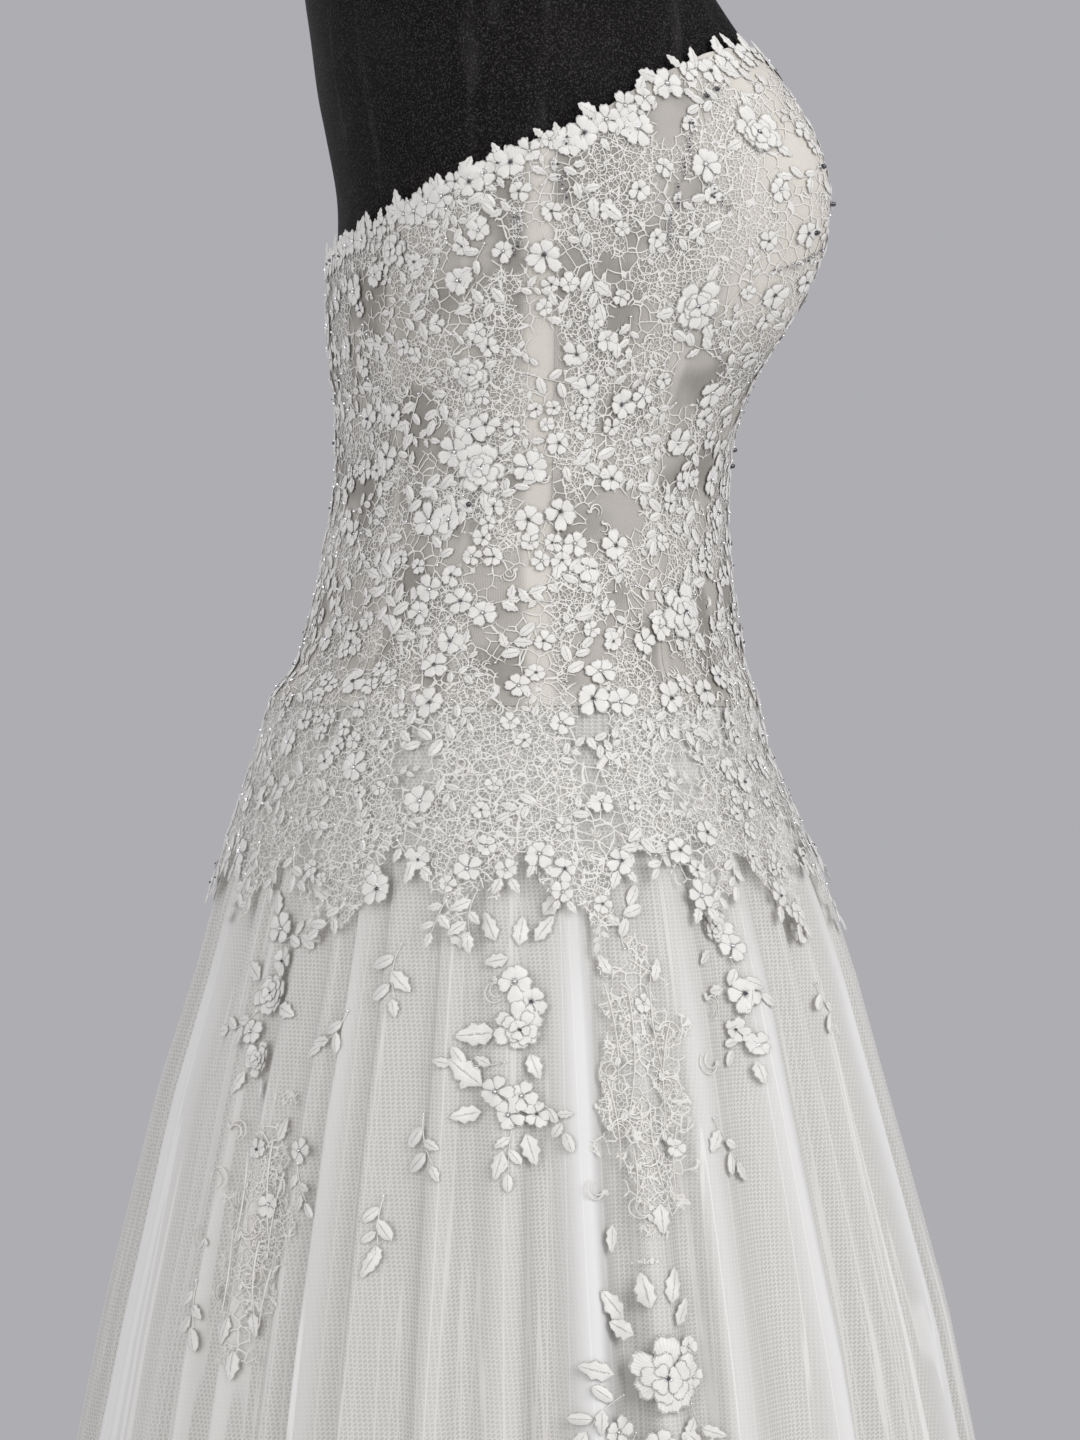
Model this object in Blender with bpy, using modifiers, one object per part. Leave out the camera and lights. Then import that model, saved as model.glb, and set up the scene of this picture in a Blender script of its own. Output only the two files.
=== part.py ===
"""A strapless wedding dress in lace and tulle, standing on a limbless dress form.

Metres, +Z up. The front of the dress faces -Y and the wearer's left is +X. The origin is on the floor,
under the pole of the stand. The cloth is cut as the real one is: nine boned bodice panels whose lace runs
down over the hips to a leafy edge, a zip at the back, and three layers of skirt, the outer one gathered.
"""

import math

import bpy
import numpy as np

MM = 0.001

# Cloth walls and the room between pieces
SEAM_GAP = 0.3 * MM
BODICE_GAP = 0.2 * MM
BODICE_WALL = 1.8 * MM
SKIRT_WALL = 1.0 * MM
LAP_GAP = 1.0 * MM
APPLIQUE_GAP = 0.8 * MM
APPLIQUE_WALL = 1.1 * MM

# The body that the form and the bodice share. Angles are in degrees from the front, positive to the left.
FORM_BUST_SHARE = 0.94
BODY_RADIUS = 130 * MM
WAIST_SEAM = 983 * MM
LAP_BLEND = 20 * MM
LAP_LIFT = 5.3 * MM
BUST_ANGLE = 33.0
BUST_SPREAD = 21.0
WIDEST_Y = 5 * MM
TANGENT_STEP = 0.2

TORSO_COLUMNS = ("height", "half_width", "front", "back", "bust", "widest_y", "form_inset")
TORSO_ROWS = (
    (800, 160, 108, 122, 0, 5, 1),
    (845, 167, 116, 134, 0, 5, 1),
    (890, 170, 121, 137, 0, 5, 1),
    (925, 165, 121, 135, 0, 5, 1),
    (955, 157, 118, 132, 0, 5, 1),
    (983, 151, 117, 128, 0, 5, 1),
    (1010, 144, 114, 117.5, 0, 5, 1),
    (1037, 136, 110, 110, 0, 5, 1),
    (1063, 130, 107, 105, 0, 5, 1),
    (1090, 128, 106, 100, 0, 5, 1),
    (1117, 129, 108, 99, 5, 5, 1),
    (1138, 131, 111, 99, 13, 5, 1),
    (1155, 134, 112, 101.5, 23, 5, 1.5),
    (1175, 137, 113, 103, 37, 5, 2.5),
    (1200, 141, 114, 103.5, 50, 5, 3.5),
    (1222, 144, 115, 103, 56, 5, 4),
    (1243, 147, 115, 103, 57, 5, 4),
    (1280, 151, 112, 107, 47, 5, 2),
    (1300, 154, 109, 110, 36, 5, 1),
    (1330, 160, 101, 114, 19, 5, 1),
    (1370, 167, 89, 119, 4, 8, 1),
    (1410, 171, 80, 119, 0, 14, 1),
    (1440, 166, 68, 117, 0, 20, 1),
    (1464, 142, 56, 112, 0, 26, 1),
    (1482, 98, 45, 107, 0, 30, 1),
    (1498, 66, 33, 99, 0, 32, 1),
    (1520, 57, 25, 90, 0, 32, 1),
    (1562, 55, 20, 84, 0, 32, 1),
)

# The outer tulle's inner face, how deep its gathers are, and how far inside it the other layers hang.
SKIRT_COLUMNS = ("height", "half_width", "front", "back", "gather", "inner_gap", "lining_gap")
SKIRT_ROWS = (
    (4, 410, 372, 370, 18.0, 30.0, 46.0),
    (230, 362, 316, 312, 14.0, 24.0, 40.0),
    (450, 312, 262, 257, 11.0, 20.0, 34.0),
    (670, 262, 217, 215, 8.0, 16.0, 28.0),
    (780, 232, 187, 190, 6.0, 14.0, 24.0),
    (845, 213, 170, 170, 4.0, 12.0, 20.0),
    (890, 197, 155, 158.5, 2.6, 9.0, 16.0),
    (925, 182, 138.5, 148, 1.6, 6.0, 11.0),
    (955, 168, 125.5, 139, 0.8, 4.0, 7.5),
    (982, 155, 120.5, 131.5, 0.0, 1.5, 3.0),
)

# The deepest folds of the skirt, the same on both sides. The other gathers are shallower.
FOLD_COLUMNS = ("angle", "spread")
MAIN_FOLDS = ((22, 9), (49, 8), (80, 9), (108, 7), (131, 6), (152, 9))
SHALLOW_SHARE = 0.6

# The top edge: a sweetheart peak over each cup, falling to the back.
NECKLINE_COLUMNS = ("angle", "height")
NECKLINE_ROWS = (
    (0, 1281),
    (8, 1289),
    (16, 1302),
    (27, 1314),
    (38, 1314),
    (48, 1306),
    (59, 1291),
    (71, 1271),
    (90, 1253),
    (109, 1240),
    (132, 1225),
    (152, 1218),
    (180, 1217),
)
NECKLINE_SCALLOP = 3.5 * MM
LACE_HEM_HEIGHT = 905 * MM
LACE_HEM_LEAF = 15 * MM
LACE_HEM_RIPPLE = 7 * MM

LACE_HEM_LEAVES = 9
LACE_HEM_RIPPLES = 31
LACE_HEM_TURN = 34
NECKLINE_SCALLOPS = 36

# Panels from the centre front to the centre back, with the columns of each one's loft.
PANEL_COLUMNS = ("name", "from_angle", "to_angle", "columns")
SIDE_PANELS = (
    ("bodice_cup", 24, 52, 5),
    ("bodice_side_front", 52, 80, 4),
    ("bodice_side_back", 80, 128, 7),
    ("bodice_back", 128, 180, 8),
)
FRONT_PANEL_ANGLE = 24
FRONT_PANEL_COLUMNS = 8
BODICE_FIXED_HEIGHTS = tuple(h * MM for h in (1222, 1198, 1172, 1144, 1112, 1080, 1045, 1010, 984))
ROWS_ABOVE_BUST = 4
ROWS_IN_LAP = 4

ZIP_HALF_WIDTH = 2.4 * MM
ZIP_WALL = 1.2 * MM
ZIP_HEIGHTS = tuple(h * MM for h in (1190, 1150, 1110, 1070, 1035, 1006))

GATHERS = 36
COLUMNS_PER_GATHER = 4
FIRST_SEAM_ANGLE = -30
DRIFT_COLUMNS = ("waves_round", "degrees", "turn")
GATHER_DRIFT = ((5, 1.3, 0), (11, 0.7, 57))
TULLE_GORES = ("front", "side_front_left", "side_back_left", "back", "side_back_right", "side_front_right")
INNER_TULLE = {
    "gores": ("front", "back"),
    "columns": 16,
    "heights": (6, 330, 670, 780, 845, 890, 925, 955, 981),
    "gap": "inner_gap",
}
LINING = {
    "gores": ("front", "left", "back", "right"),
    "columns": 8,
    "heights": (8, 330, 670, 780, 845, 890, 925, 955, 980),
    "gap": "lining_gap",
}

# Sprays of lace flowers on the skirt, the same on both sides.
SPRAY_COLUMNS = ("name", "angle", "height", "half_width", "half_height")
SPRAYS = (
    ("side_flowers", 90, 818, 24, 62),
    ("back_flowers", 135, 838, 22, 49),
    ("front_flowers", 54, 850, 20, 50),
    ("low_rose", 75, 662, 32, 50),
    ("side_lace", 71, 800, 27, 70),
    ("back_lace", 128, 728, 26, 58),
)
SPRAY_POINTS = 16
SPRAY_PETALS = 5
PETAL_REACH = 0.62
PETAL_DEPTH = 0.16
LEAF_SHARPNESS = 0.02

BASE_RADIUS = 190 * MM
BASE_THICKNESS = 12 * MM
BASE_BEVEL = 3 * MM
POLE_RADIUS = 14 * MM
COLLAR_RADIUS = 34 * MM
COLLAR_HEIGHT = 26 * MM
NECK_CAP_RADIUS = 54 * MM
NECK_CAP_HEIGHT = 14 * MM
NECK_CAP_BEVEL = 3 * MM
DISC_SIDES = 32
TORSO_SIDES = 36

MATERIALS = {
    "form_cloth": ((0.02, 0.019, 0.02, 1), 0.85, 0.0),
    "stand_metal": ((0.05, 0.05, 0.055, 1), 0.4, 0.8),
    "bodice_lace": ((0.74, 0.72, 0.68, 1), 0.7, 0.0),
    "zip_tape": ((0.70, 0.66, 0.58, 1), 0.6, 0.0),
    "outer_tulle": ((0.83, 0.83, 0.81, 1), 0.7, 0.0),
    "inner_tulle": ((0.80, 0.80, 0.78, 1), 0.7, 0.0),
    "lining_satin": ((0.66, 0.63, 0.57, 1), 0.45, 0.0),
    "applique_lace": ((0.86, 0.86, 0.83, 1), 0.6, 0.0),
}


def column(rows, columns, name):
    """One named column of a table, in metres where the table is in millimetres."""
    values = np.array([row[columns.index(name)] for row in rows], float)
    return values if name == "angle" else values * MM


def smooth(at, knots, values):
    """Cubic curve through a table's points, with slopes from their neighbours."""
    slopes = np.gradient(values, knots)
    index = np.clip(np.searchsorted(knots, at) - 1, 0, len(knots) - 2)
    width = knots[index + 1] - knots[index]
    share = np.clip((at - knots[index]) / width, 0, 1)
    rise = values[index + 1] - values[index]
    start = slopes[index] * width
    end = slopes[index + 1] * width
    return values[index] + share * (
        start + share * (3 * rise - 2 * start - end + share * (start + end - 2 * rise))
    )


def turned(angle):
    """The same angle between -180 and 180 degrees."""
    return (np.asarray(angle, float) + 180) % 360 - 180


def oval(angle, half_width, front, back, widest_y):
    """Half an ellipse forward of the widest line and half an ellipse behind it."""
    sine, cosine = np.sin(np.radians(angle)), np.cos(np.radians(angle))
    depth = np.where(cosine > 0, front + widest_y, back - widest_y)
    return np.stack([half_width * sine, widest_y - depth * cosine], -1)


def torso(angle, height, bust_share=1.0):
    """The body's outline: an oval at each height, with a cup raised forward on each side."""
    heights = column(TORSO_ROWS, TORSO_COLUMNS, "height")
    width, front, back, bust, widest = (
        smooth(height, heights, column(TORSO_ROWS, TORSO_COLUMNS, name)) for name in TORSO_COLUMNS[1:6]
    )
    points = oval(angle, width, front, back, widest)
    lobe = np.exp(-(((np.abs(turned(angle)) - BUST_ANGLE) / BUST_SPREAD) ** 2))
    points[..., 1] -= bust_share * bust * lobe
    return points


def form(angle, height):
    """The dress form's outline: the same body, with a bust that leaves room for the padded cups."""
    return torso(angle, height, FORM_BUST_SHARE)


def skirt_value(height, name):
    """A named column of the skirt's table at any height, straight between its rows."""
    heights = column(SKIRT_ROWS, SKIRT_COLUMNS, "height")
    return np.interp(height, heights, column(SKIRT_ROWS, SKIRT_COLUMNS, name))


def skirt(angle, height):
    """The mean outline of the outer tulle at each height, before its gathers."""
    return oval(
        angle,
        skirt_value(height, "half_width"),
        skirt_value(height, "front"),
        skirt_value(height, "back"),
        WIDEST_Y,
    )


def moved_out(outline, angle, height, distance):
    """Points of an outline, moved out level along its normal, as (x, y, z)."""
    angle, height = np.broadcast_arrays(np.asarray(angle, float), np.asarray(height, float))
    tangent = outline(angle + TANGENT_STEP, height) - outline(angle - TANGENT_STEP, height)
    normal = np.stack([tangent[..., 1], -tangent[..., 0]], -1)
    normal /= np.linalg.norm(normal, axis=-1, keepdims=True)
    flat = outline(angle, height) + normal * np.asarray(distance)[..., None]
    return np.concatenate([flat, height[..., None]], -1)


def bodice(angle, height):
    """The bodice's inner face: on the torso above the waist seam, and over the gathered tulle below it."""
    rise = np.clip((WAIST_SEAM + LAP_BLEND - height) / LAP_BLEND, 0, 1)
    lift = BODICE_GAP + LAP_LIFT * rise * rise * (3 - 2 * rise)
    above = moved_out(torso, angle, np.maximum(height, WAIST_SEAM), lift)
    over_gathers = SKIRT_WALL + skirt_value(height, "gather") + LAP_GAP
    below = moved_out(skirt, angle, height, over_gathers)
    points = np.where((height > WAIST_SEAM)[..., None], above, below)
    points[..., 2] = height
    return points


def neckline(angle):
    """Height of the top edge, with a small scallop for each flower along it."""
    around = np.abs(turned(angle))
    angles = column(NECKLINE_ROWS, NECKLINE_COLUMNS, "angle")
    heights = column(NECKLINE_ROWS, NECKLINE_COLUMNS, "height")
    scallop = np.cos(np.radians(around * NECKLINE_SCALLOPS))
    return np.interp(around, angles, heights) + NECKLINE_SCALLOP * scallop


def lace_hem(angle):
    """Height of the lace's leafy lower edge on the hips."""
    around = np.abs(turned(angle))
    leaves = np.sin(np.radians(LACE_HEM_LEAVES * around + LACE_HEM_TURN))
    ripples = np.sin(np.radians(LACE_HEM_RIPPLES * around))
    return LACE_HEM_HEIGHT + LACE_HEM_LEAF * leaves + LACE_HEM_RIPPLE * ripples


def make_material(name):
    """A material with its colour, roughness and metallic value from the table."""
    colour, roughness, metallic = MATERIALS[name]
    material = bpy.data.materials.new(name)
    material.diffuse_color = colour
    material.use_nodes = True
    shader = material.node_tree.nodes["Principled BSDF"]
    shader.inputs["Base Color"].default_value = colour
    shader.inputs["Roughness"].default_value = roughness
    shader.inputs["Metallic"].default_value = metallic
    return material


def add_object(name, points, faces, material, parent):
    """A mesh object from points and faces, in the dress's collection."""
    mesh = bpy.data.meshes.new(name)
    mesh.from_pydata([tuple(map(float, point)) for point in points], [], faces)
    mesh.materials.append(material)
    mesh.shade_smooth()
    made = bpy.data.objects.new(name, mesh)
    parent.users_collection[0].objects.link(made)
    made.parent = parent
    return made


def grid_faces(rows, columns):
    """Quads of a grid whose rows go down and whose columns go to the left, facing out."""
    corner = np.arange(rows * columns).reshape(rows, columns)
    quads = np.stack([corner[:-1, :-1], corner[1:, :-1], corner[1:, 1:], corner[:-1, 1:]], -1)
    return quads.reshape(-1, 4).tolist()


def add_cloth(name, grid, wall, material, parent):
    """A cloth wall: an open sheet through a grid of points, thickened outwards."""
    rows, columns = grid.shape[:2]
    cloth = add_object(name, grid.reshape(-1, 3), grid_faces(rows, columns), material, parent)
    thickness = cloth.modifiers.new("cloth thickness", "SOLIDIFY")
    thickness.thickness = wall
    thickness.offset = 1
    return cloth


def seam_angles(start, end, columns):
    """Even angles from seam to seam, drawn in by half the seam gap at each end."""
    inset = math.degrees(SEAM_GAP / 2 / BODY_RADIUS)
    return np.linspace(start + inset, end - inset, columns + 1)


def bodice_heights(angles):
    """Heights of a panel's rows: eased from the neckline, level on the body, eased to the lace hem."""
    fixed = np.array(BODICE_FIXED_HEIGHTS)
    down = np.linspace(0, 1, ROWS_ABOVE_BUST + 1)[:-1, None]
    top = neckline(angles) * (1 - down) + fixed[0] * down
    middle = np.repeat(fixed[:, None], len(angles), 1)
    share = np.linspace(0, 1, ROWS_IN_LAP + 1)[1:, None]
    lap = fixed[-1] * (1 - share) + lace_hem(angles) * share
    return np.concatenate([top, middle, lap])


def add_bodice_panel(name, angles, material, parent):
    heights = bodice_heights(angles)
    grid = bodice(np.broadcast_to(angles, heights.shape), heights)
    return add_cloth(name, grid, BODICE_WALL, material, parent)


def add_bodice(material, parent):
    """A front panel on the fold and four panels on each side. The back ones leave room for the zip."""
    front = seam_angles(-FRONT_PANEL_ANGLE, FRONT_PANEL_ANGLE, FRONT_PANEL_COLUMNS)
    add_bodice_panel("bodice_front", front, material, parent)
    zip_inset = math.degrees((ZIP_HALF_WIDTH + SEAM_GAP) / BODY_RADIUS)
    for row in SIDE_PANELS:
        panel = dict(zip(PANEL_COLUMNS, row))
        last = min(panel["to_angle"], 180 - zip_inset)
        angles = seam_angles(panel["from_angle"], last, panel["columns"])
        add_bodice_panel(f"{panel['name']}_left", angles, material, parent)
        add_bodice_panel(f"{panel['name']}_right", -angles[::-1], material, parent)


def add_zip(material, parent):
    """The closed zip between the back panels, from the top edge to just above the waist seam."""
    reach = math.degrees(ZIP_HALF_WIDTH / BODY_RADIUS)
    angles = np.array([180 - reach, 180, 180 + reach])
    heights = np.array([neckline(180.0), *ZIP_HEIGHTS])
    grid = moved_out(torso, angles[None, :], heights[:, None], np.full((len(heights), 3), BODICE_GAP))
    return add_cloth("back_zip", grid, ZIP_WALL, material, parent)


def crest_height(angle, height):
    """How far a gather's crest stands out of the mean outline, most at the main folds."""
    around = np.abs(turned(angle))
    folds = [dict(zip(FOLD_COLUMNS, row)) for row in MAIN_FOLDS]
    nearness = [np.exp(-(((around - fold["angle"]) / fold["spread"]) ** 2)) for fold in folds]
    share = SHALLOW_SHARE + (1 - SHALLOW_SHARE) * np.max(nearness, axis=0)
    return skirt_value(height, "gather") * share


def gather_angles(index):
    """Angle of each column of the outer tulle, with gathers of uneven width."""
    angle = FIRST_SEAM_ANGLE + (index - 1) * 360 / (GATHERS * COLUMNS_PER_GATHER)
    drift = 0
    for row in GATHER_DRIFT:
        wave = dict(zip(DRIFT_COLUMNS, row))
        drift = drift + wave["degrees"] * np.sin(np.radians(wave["waves_round"] * angle + wave["turn"]))
    return angle + drift


def gather_depth(index, height):
    """Crest, slope, trough, slope from column to column."""
    return crest_height(gather_angles(index), height) * np.cos(index * math.pi / 2)


def add_outer_tulle(material, parent):
    """Six gathered gores. Each seam is on the slope between a crest and a trough."""
    heights = column(SKIRT_ROWS, SKIRT_COLUMNS, "height")[::-1]
    per_gore = GATHERS * COLUMNS_PER_GATHER // len(TULLE_GORES)
    for number, name in enumerate(TULLE_GORES):
        index = np.arange(per_gore + 1) + 1 + number * per_gore
        angles = gather_angles(index)[None, :].repeat(len(heights), 0)
        inset = np.degrees(SEAM_GAP / skirt_value(heights, "front"))
        angles[:, 0] += inset
        angles[:, -1] -= inset
        depth = gather_depth(index[None, :], heights[:, None])
        grid = moved_out(skirt, angles, heights[:, None], depth)
        add_cloth(f"tulle_outer_{name}", grid, SKIRT_WALL, material, parent)


def add_plain_layer(prefix, layer, material, parent):
    """A smooth skirt layer in equal gores, hanging inside the outer tulle."""
    heights = np.array(layer["heights"])[::-1] * MM
    span = 360 / len(layer["gores"])
    for number, name in enumerate(layer["gores"]):
        start = (number - 0.5) * span
        angles = np.linspace(start, start + span, layer["columns"] + 1)[None, :].repeat(len(heights), 0)
        inset = np.degrees(SEAM_GAP / skirt_value(heights, "front"))
        angles[:, 0] += inset
        angles[:, -1] -= inset
        inward = -skirt_value(heights, layer["gap"])[:, None].repeat(layer["columns"] + 1, 1)
        grid = moved_out(skirt, angles, heights[:, None], inward)
        add_cloth(f"{prefix}_{name}", grid, SKIRT_WALL, material, parent)


def spray_outline(turn):
    """Reach of a spray round its middle, from 0 to 1: rounded petals across and a leaf up and down."""
    petals = PETAL_REACH + PETAL_DEPTH * np.cos(SPRAY_PETALS * turn)
    leaves = (1 - PETAL_REACH) * np.exp(-((np.abs(np.sin(turn)) - 1) ** 2) / LEAF_SHARPNESS)
    return petals + leaves


def add_spray(name, angle, spray, material, parent):
    """A flat lace motif, bent round the skirt and lying on the crests of the gathers."""
    turn = np.arange(SPRAY_POINTS) * 2 * math.pi / SPRAY_POINTS
    reach = np.concatenate([[0], np.repeat([0.5, 1.0], SPRAY_POINTS) * np.tile(spray_outline(turn), 2)])
    turn = np.concatenate([[0], turn, turn])
    middle = spray["height"] * MM
    heights = middle + spray["half_height"] * MM * reach * np.sin(turn)
    across = spray["half_width"] * MM * reach * np.cos(turn)
    angles = angle + np.degrees(across / skirt_value(middle, "half_width"))
    lift = SKIRT_WALL + crest_height(angles, heights) + APPLIQUE_GAP
    points = moved_out(skirt, angles, heights, lift)
    around = np.arange(SPRAY_POINTS)
    after = (around + 1) % SPRAY_POINTS
    inner = 1
    outer = 1 + SPRAY_POINTS
    faces = [(0, inner + int(a), inner + int(b)) for a, b in zip(around, after)]
    ring = [(inner + int(a), outer + int(a), outer + int(b), inner + int(b)) for a, b in zip(around, after)]
    spray = add_object(name, points, faces + ring, material, parent)
    thickness = spray.modifiers.new("lace thickness", "SOLIDIFY")
    thickness.thickness = APPLIQUE_WALL
    thickness.offset = 1
    return spray


def add_sprays(material, parent):
    for row in SPRAYS:
        spray = dict(zip(SPRAY_COLUMNS, row))
        add_spray(f"applique_{spray['name']}_left", spray["angle"], spray, material, parent)
        add_spray(f"applique_{spray['name']}_right", -spray["angle"], spray, material, parent)


def add_torso(material, parent):
    """The form's body: a loft from hip to neck, closed flat at both ends."""
    knots = column(TORSO_ROWS, TORSO_COLUMNS, "height")
    heights = knots[::-1]
    angles = np.arange(TORSO_SIDES) * 360 / TORSO_SIDES
    inset = -column(TORSO_ROWS, TORSO_COLUMNS, "form_inset")[::-1, None].repeat(len(angles), 1)
    points = moved_out(form, angles[None, :], heights[:, None], inset).reshape(-1, 3)
    count = TORSO_SIDES
    faces = []
    for row in range(len(heights) - 1):
        for here in range(count):
            after = (here + 1) % count
            upper = row * count
            lower = upper + count
            faces.append((upper + here, lower + here, lower + after, upper + after))
    faces.append(tuple(range(count)))
    faces.append(tuple(reversed(range(len(points) - count, len(points)))))
    return add_object("form_torso", points, faces, material, parent)


def add_disc(name, radius, bottom, top, y, bevel, material, parent):
    """A turned stand piece, from the cylinder primitive."""
    place = (0, y, (bottom + top) / 2)
    depth = top - bottom
    bpy.ops.mesh.primitive_cylinder_add(vertices=DISC_SIDES, radius=radius, depth=depth, location=place)
    disc = bpy.context.object
    disc.name = name
    disc.data.materials.append(material)
    disc.users_collection[0].objects.unlink(disc)
    parent.users_collection[0].objects.link(disc)
    disc.parent = parent
    if bevel:
        rounded = disc.modifiers.new("rounded edge", "BEVEL")
        rounded.width = bevel
        rounded.segments = 2
        rounded.limit_method = "ANGLE"
    disc.data.shade_smooth()
    disc.data.set_sharp_from_angle(angle=math.radians(40))
    return disc


def add_stand(material, parent):
    torso_bottom = TORSO_ROWS[0][0] * MM
    torso_top = TORSO_ROWS[-1][0] * MM
    neck_y = TORSO_ROWS[-1][TORSO_COLUMNS.index("widest_y")] * MM
    collar_bottom = torso_bottom - SEAM_GAP - COLLAR_HEIGHT
    add_disc("stand_base", BASE_RADIUS, 0, BASE_THICKNESS, 0, BASE_BEVEL, material, parent)
    pole_bottom = BASE_THICKNESS + SEAM_GAP
    add_disc("stand_pole", POLE_RADIUS, pole_bottom, collar_bottom - SEAM_GAP, 0, 0, material, parent)
    add_disc("stand_collar", COLLAR_RADIUS, collar_bottom, torso_bottom - SEAM_GAP, 0, 0, material, parent)
    cap_bottom = torso_top + SEAM_GAP
    cap_top = cap_bottom + NECK_CAP_HEIGHT
    add_disc("form_neck_cap", NECK_CAP_RADIUS, cap_bottom, cap_top, neck_y, NECK_CAP_BEVEL, material, parent)


def main():
    for old in list(bpy.data.objects):
        bpy.data.objects.remove(old)
    collection = bpy.data.collections.new("wedding_dress")
    bpy.context.scene.collection.children.link(collection)
    parent = bpy.data.objects.new("dress_origin", None)
    collection.objects.link(parent)
    materials = {name: make_material(name) for name in MATERIALS}
    add_stand(materials["stand_metal"], parent)
    add_torso(materials["form_cloth"], parent)
    add_bodice(materials["bodice_lace"], parent)
    add_zip(materials["zip_tape"], parent)
    add_outer_tulle(materials["outer_tulle"], parent)
    add_plain_layer("tulle_inner", INNER_TULLE, materials["inner_tulle"], parent)
    add_plain_layer("lining", LINING, materials["lining_satin"], parent)
    add_sprays(materials["applique_lace"], parent)


main()
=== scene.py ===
"""The looks of a strapless wedding dress in lace and tulle, standing on a black dress form.

Metres, +Z up. The front of the dress faces -Y and the wearer's left is +X. Angles go round the body in
degrees from the front, positive to the wearer's left, as in the CAD. Each section below is one piece of
the dress or of its stand, in the order in which they go together.
"""

import bpy
import numpy as np
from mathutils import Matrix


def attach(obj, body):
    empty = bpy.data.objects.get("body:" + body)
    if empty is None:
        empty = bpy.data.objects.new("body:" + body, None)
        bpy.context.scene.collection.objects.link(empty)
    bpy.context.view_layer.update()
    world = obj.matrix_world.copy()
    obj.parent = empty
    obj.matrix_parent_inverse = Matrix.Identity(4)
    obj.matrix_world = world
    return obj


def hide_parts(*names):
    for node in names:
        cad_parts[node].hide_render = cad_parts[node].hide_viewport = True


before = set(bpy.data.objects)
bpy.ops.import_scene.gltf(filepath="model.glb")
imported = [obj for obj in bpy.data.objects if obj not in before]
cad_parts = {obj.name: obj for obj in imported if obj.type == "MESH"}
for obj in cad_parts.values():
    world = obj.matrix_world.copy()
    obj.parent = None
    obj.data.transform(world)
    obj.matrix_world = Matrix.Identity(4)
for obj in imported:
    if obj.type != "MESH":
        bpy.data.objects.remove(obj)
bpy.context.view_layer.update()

MM = 0.001

# The view: the photograph's close-up from the wearer's right, with a level camera at the height of the
# hips. The photograph is 1440 pixels high, and a pixel is 0.53 mm at the middle of the dress.
PIXEL = 0.53 * MM
PHOTO_MIDDLE = (540, 720)
CAMERA_PLACE = np.array([-2.0, -0.008, 0.973])
SENSOR = 36.0

camera_data = bpy.data.cameras.new("close_up")
camera_data.sensor_width = SENSOR
camera_data.lens = SENSOR * -CAMERA_PLACE[0] / (2 * PHOTO_MIDDLE[1] * PIXEL)
camera_data.clip_end = 30
camera = bpy.data.objects.new("close_up", camera_data)
camera.location = CAMERA_PLACE
camera.rotation_euler = (np.pi / 2, 0, -np.pi / 2)
bpy.context.scene.collection.objects.link(camera)
bpy.context.scene.camera = camera
bpy.context.scene.view_settings.view_transform = "Standard"

# The room: a plain pale floor and soft studio light, brightest on the front of the dress.
FLOOR_SIZE = 5.2
FLOOR_COLOUR = (0.50, 0.50, 0.51, 1)
ROOM_COLOUR = (0.42, 0.42, 0.445, 1)
SOFT_LIGHTS = {
    "key": {"place": (-2.0, -2.6, 2.5), "watts": 82, "size": 3.0},
    "fill": {"place": (-2.6, 1.9, 1.7), "watts": 42, "size": 3.0},
    "back": {"place": (2.4, 0.6, 2.6), "watts": 40, "size": 1.8},
}
LIGHTS_AIM = np.array([0.0, 0.0, 0.95])

world = bpy.data.worlds.new("room")
world.use_nodes = True
world.node_tree.nodes["Background"].inputs["Color"].default_value = ROOM_COLOUR
bpy.context.scene.world = world


def soft_light(name, place, watts, size):
    """A square lamp that faces the middle of the dress."""
    data = bpy.data.lights.new(name, "AREA")
    data.energy = watts
    data.size = size
    lamp = bpy.data.objects.new(name, data)
    away = np.array(place) - LIGHTS_AIM
    lamp.location = place
    lamp.rotation_euler = (np.arctan2(np.hypot(away[0], away[1]), away[2]), 0, np.arctan2(away[0], -away[1]))
    bpy.context.scene.collection.objects.link(lamp)


for name, light in SOFT_LIGHTS.items():
    soft_light(name, **light)

bpy.ops.mesh.primitive_plane_add(size=FLOOR_SIZE)
floor = bpy.context.object
floor.name = "floor"
floor_finish = bpy.data.materials.new("floor")
floor_finish.use_nodes = True
floor_finish.node_tree.nodes["Principled BSDF"].inputs["Base Color"].default_value = FLOOR_COLOUR
floor_finish.node_tree.nodes["Principled BSDF"].inputs["Roughness"].default_value = 0.9
floor.data.materials.append(floor_finish)

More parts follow.
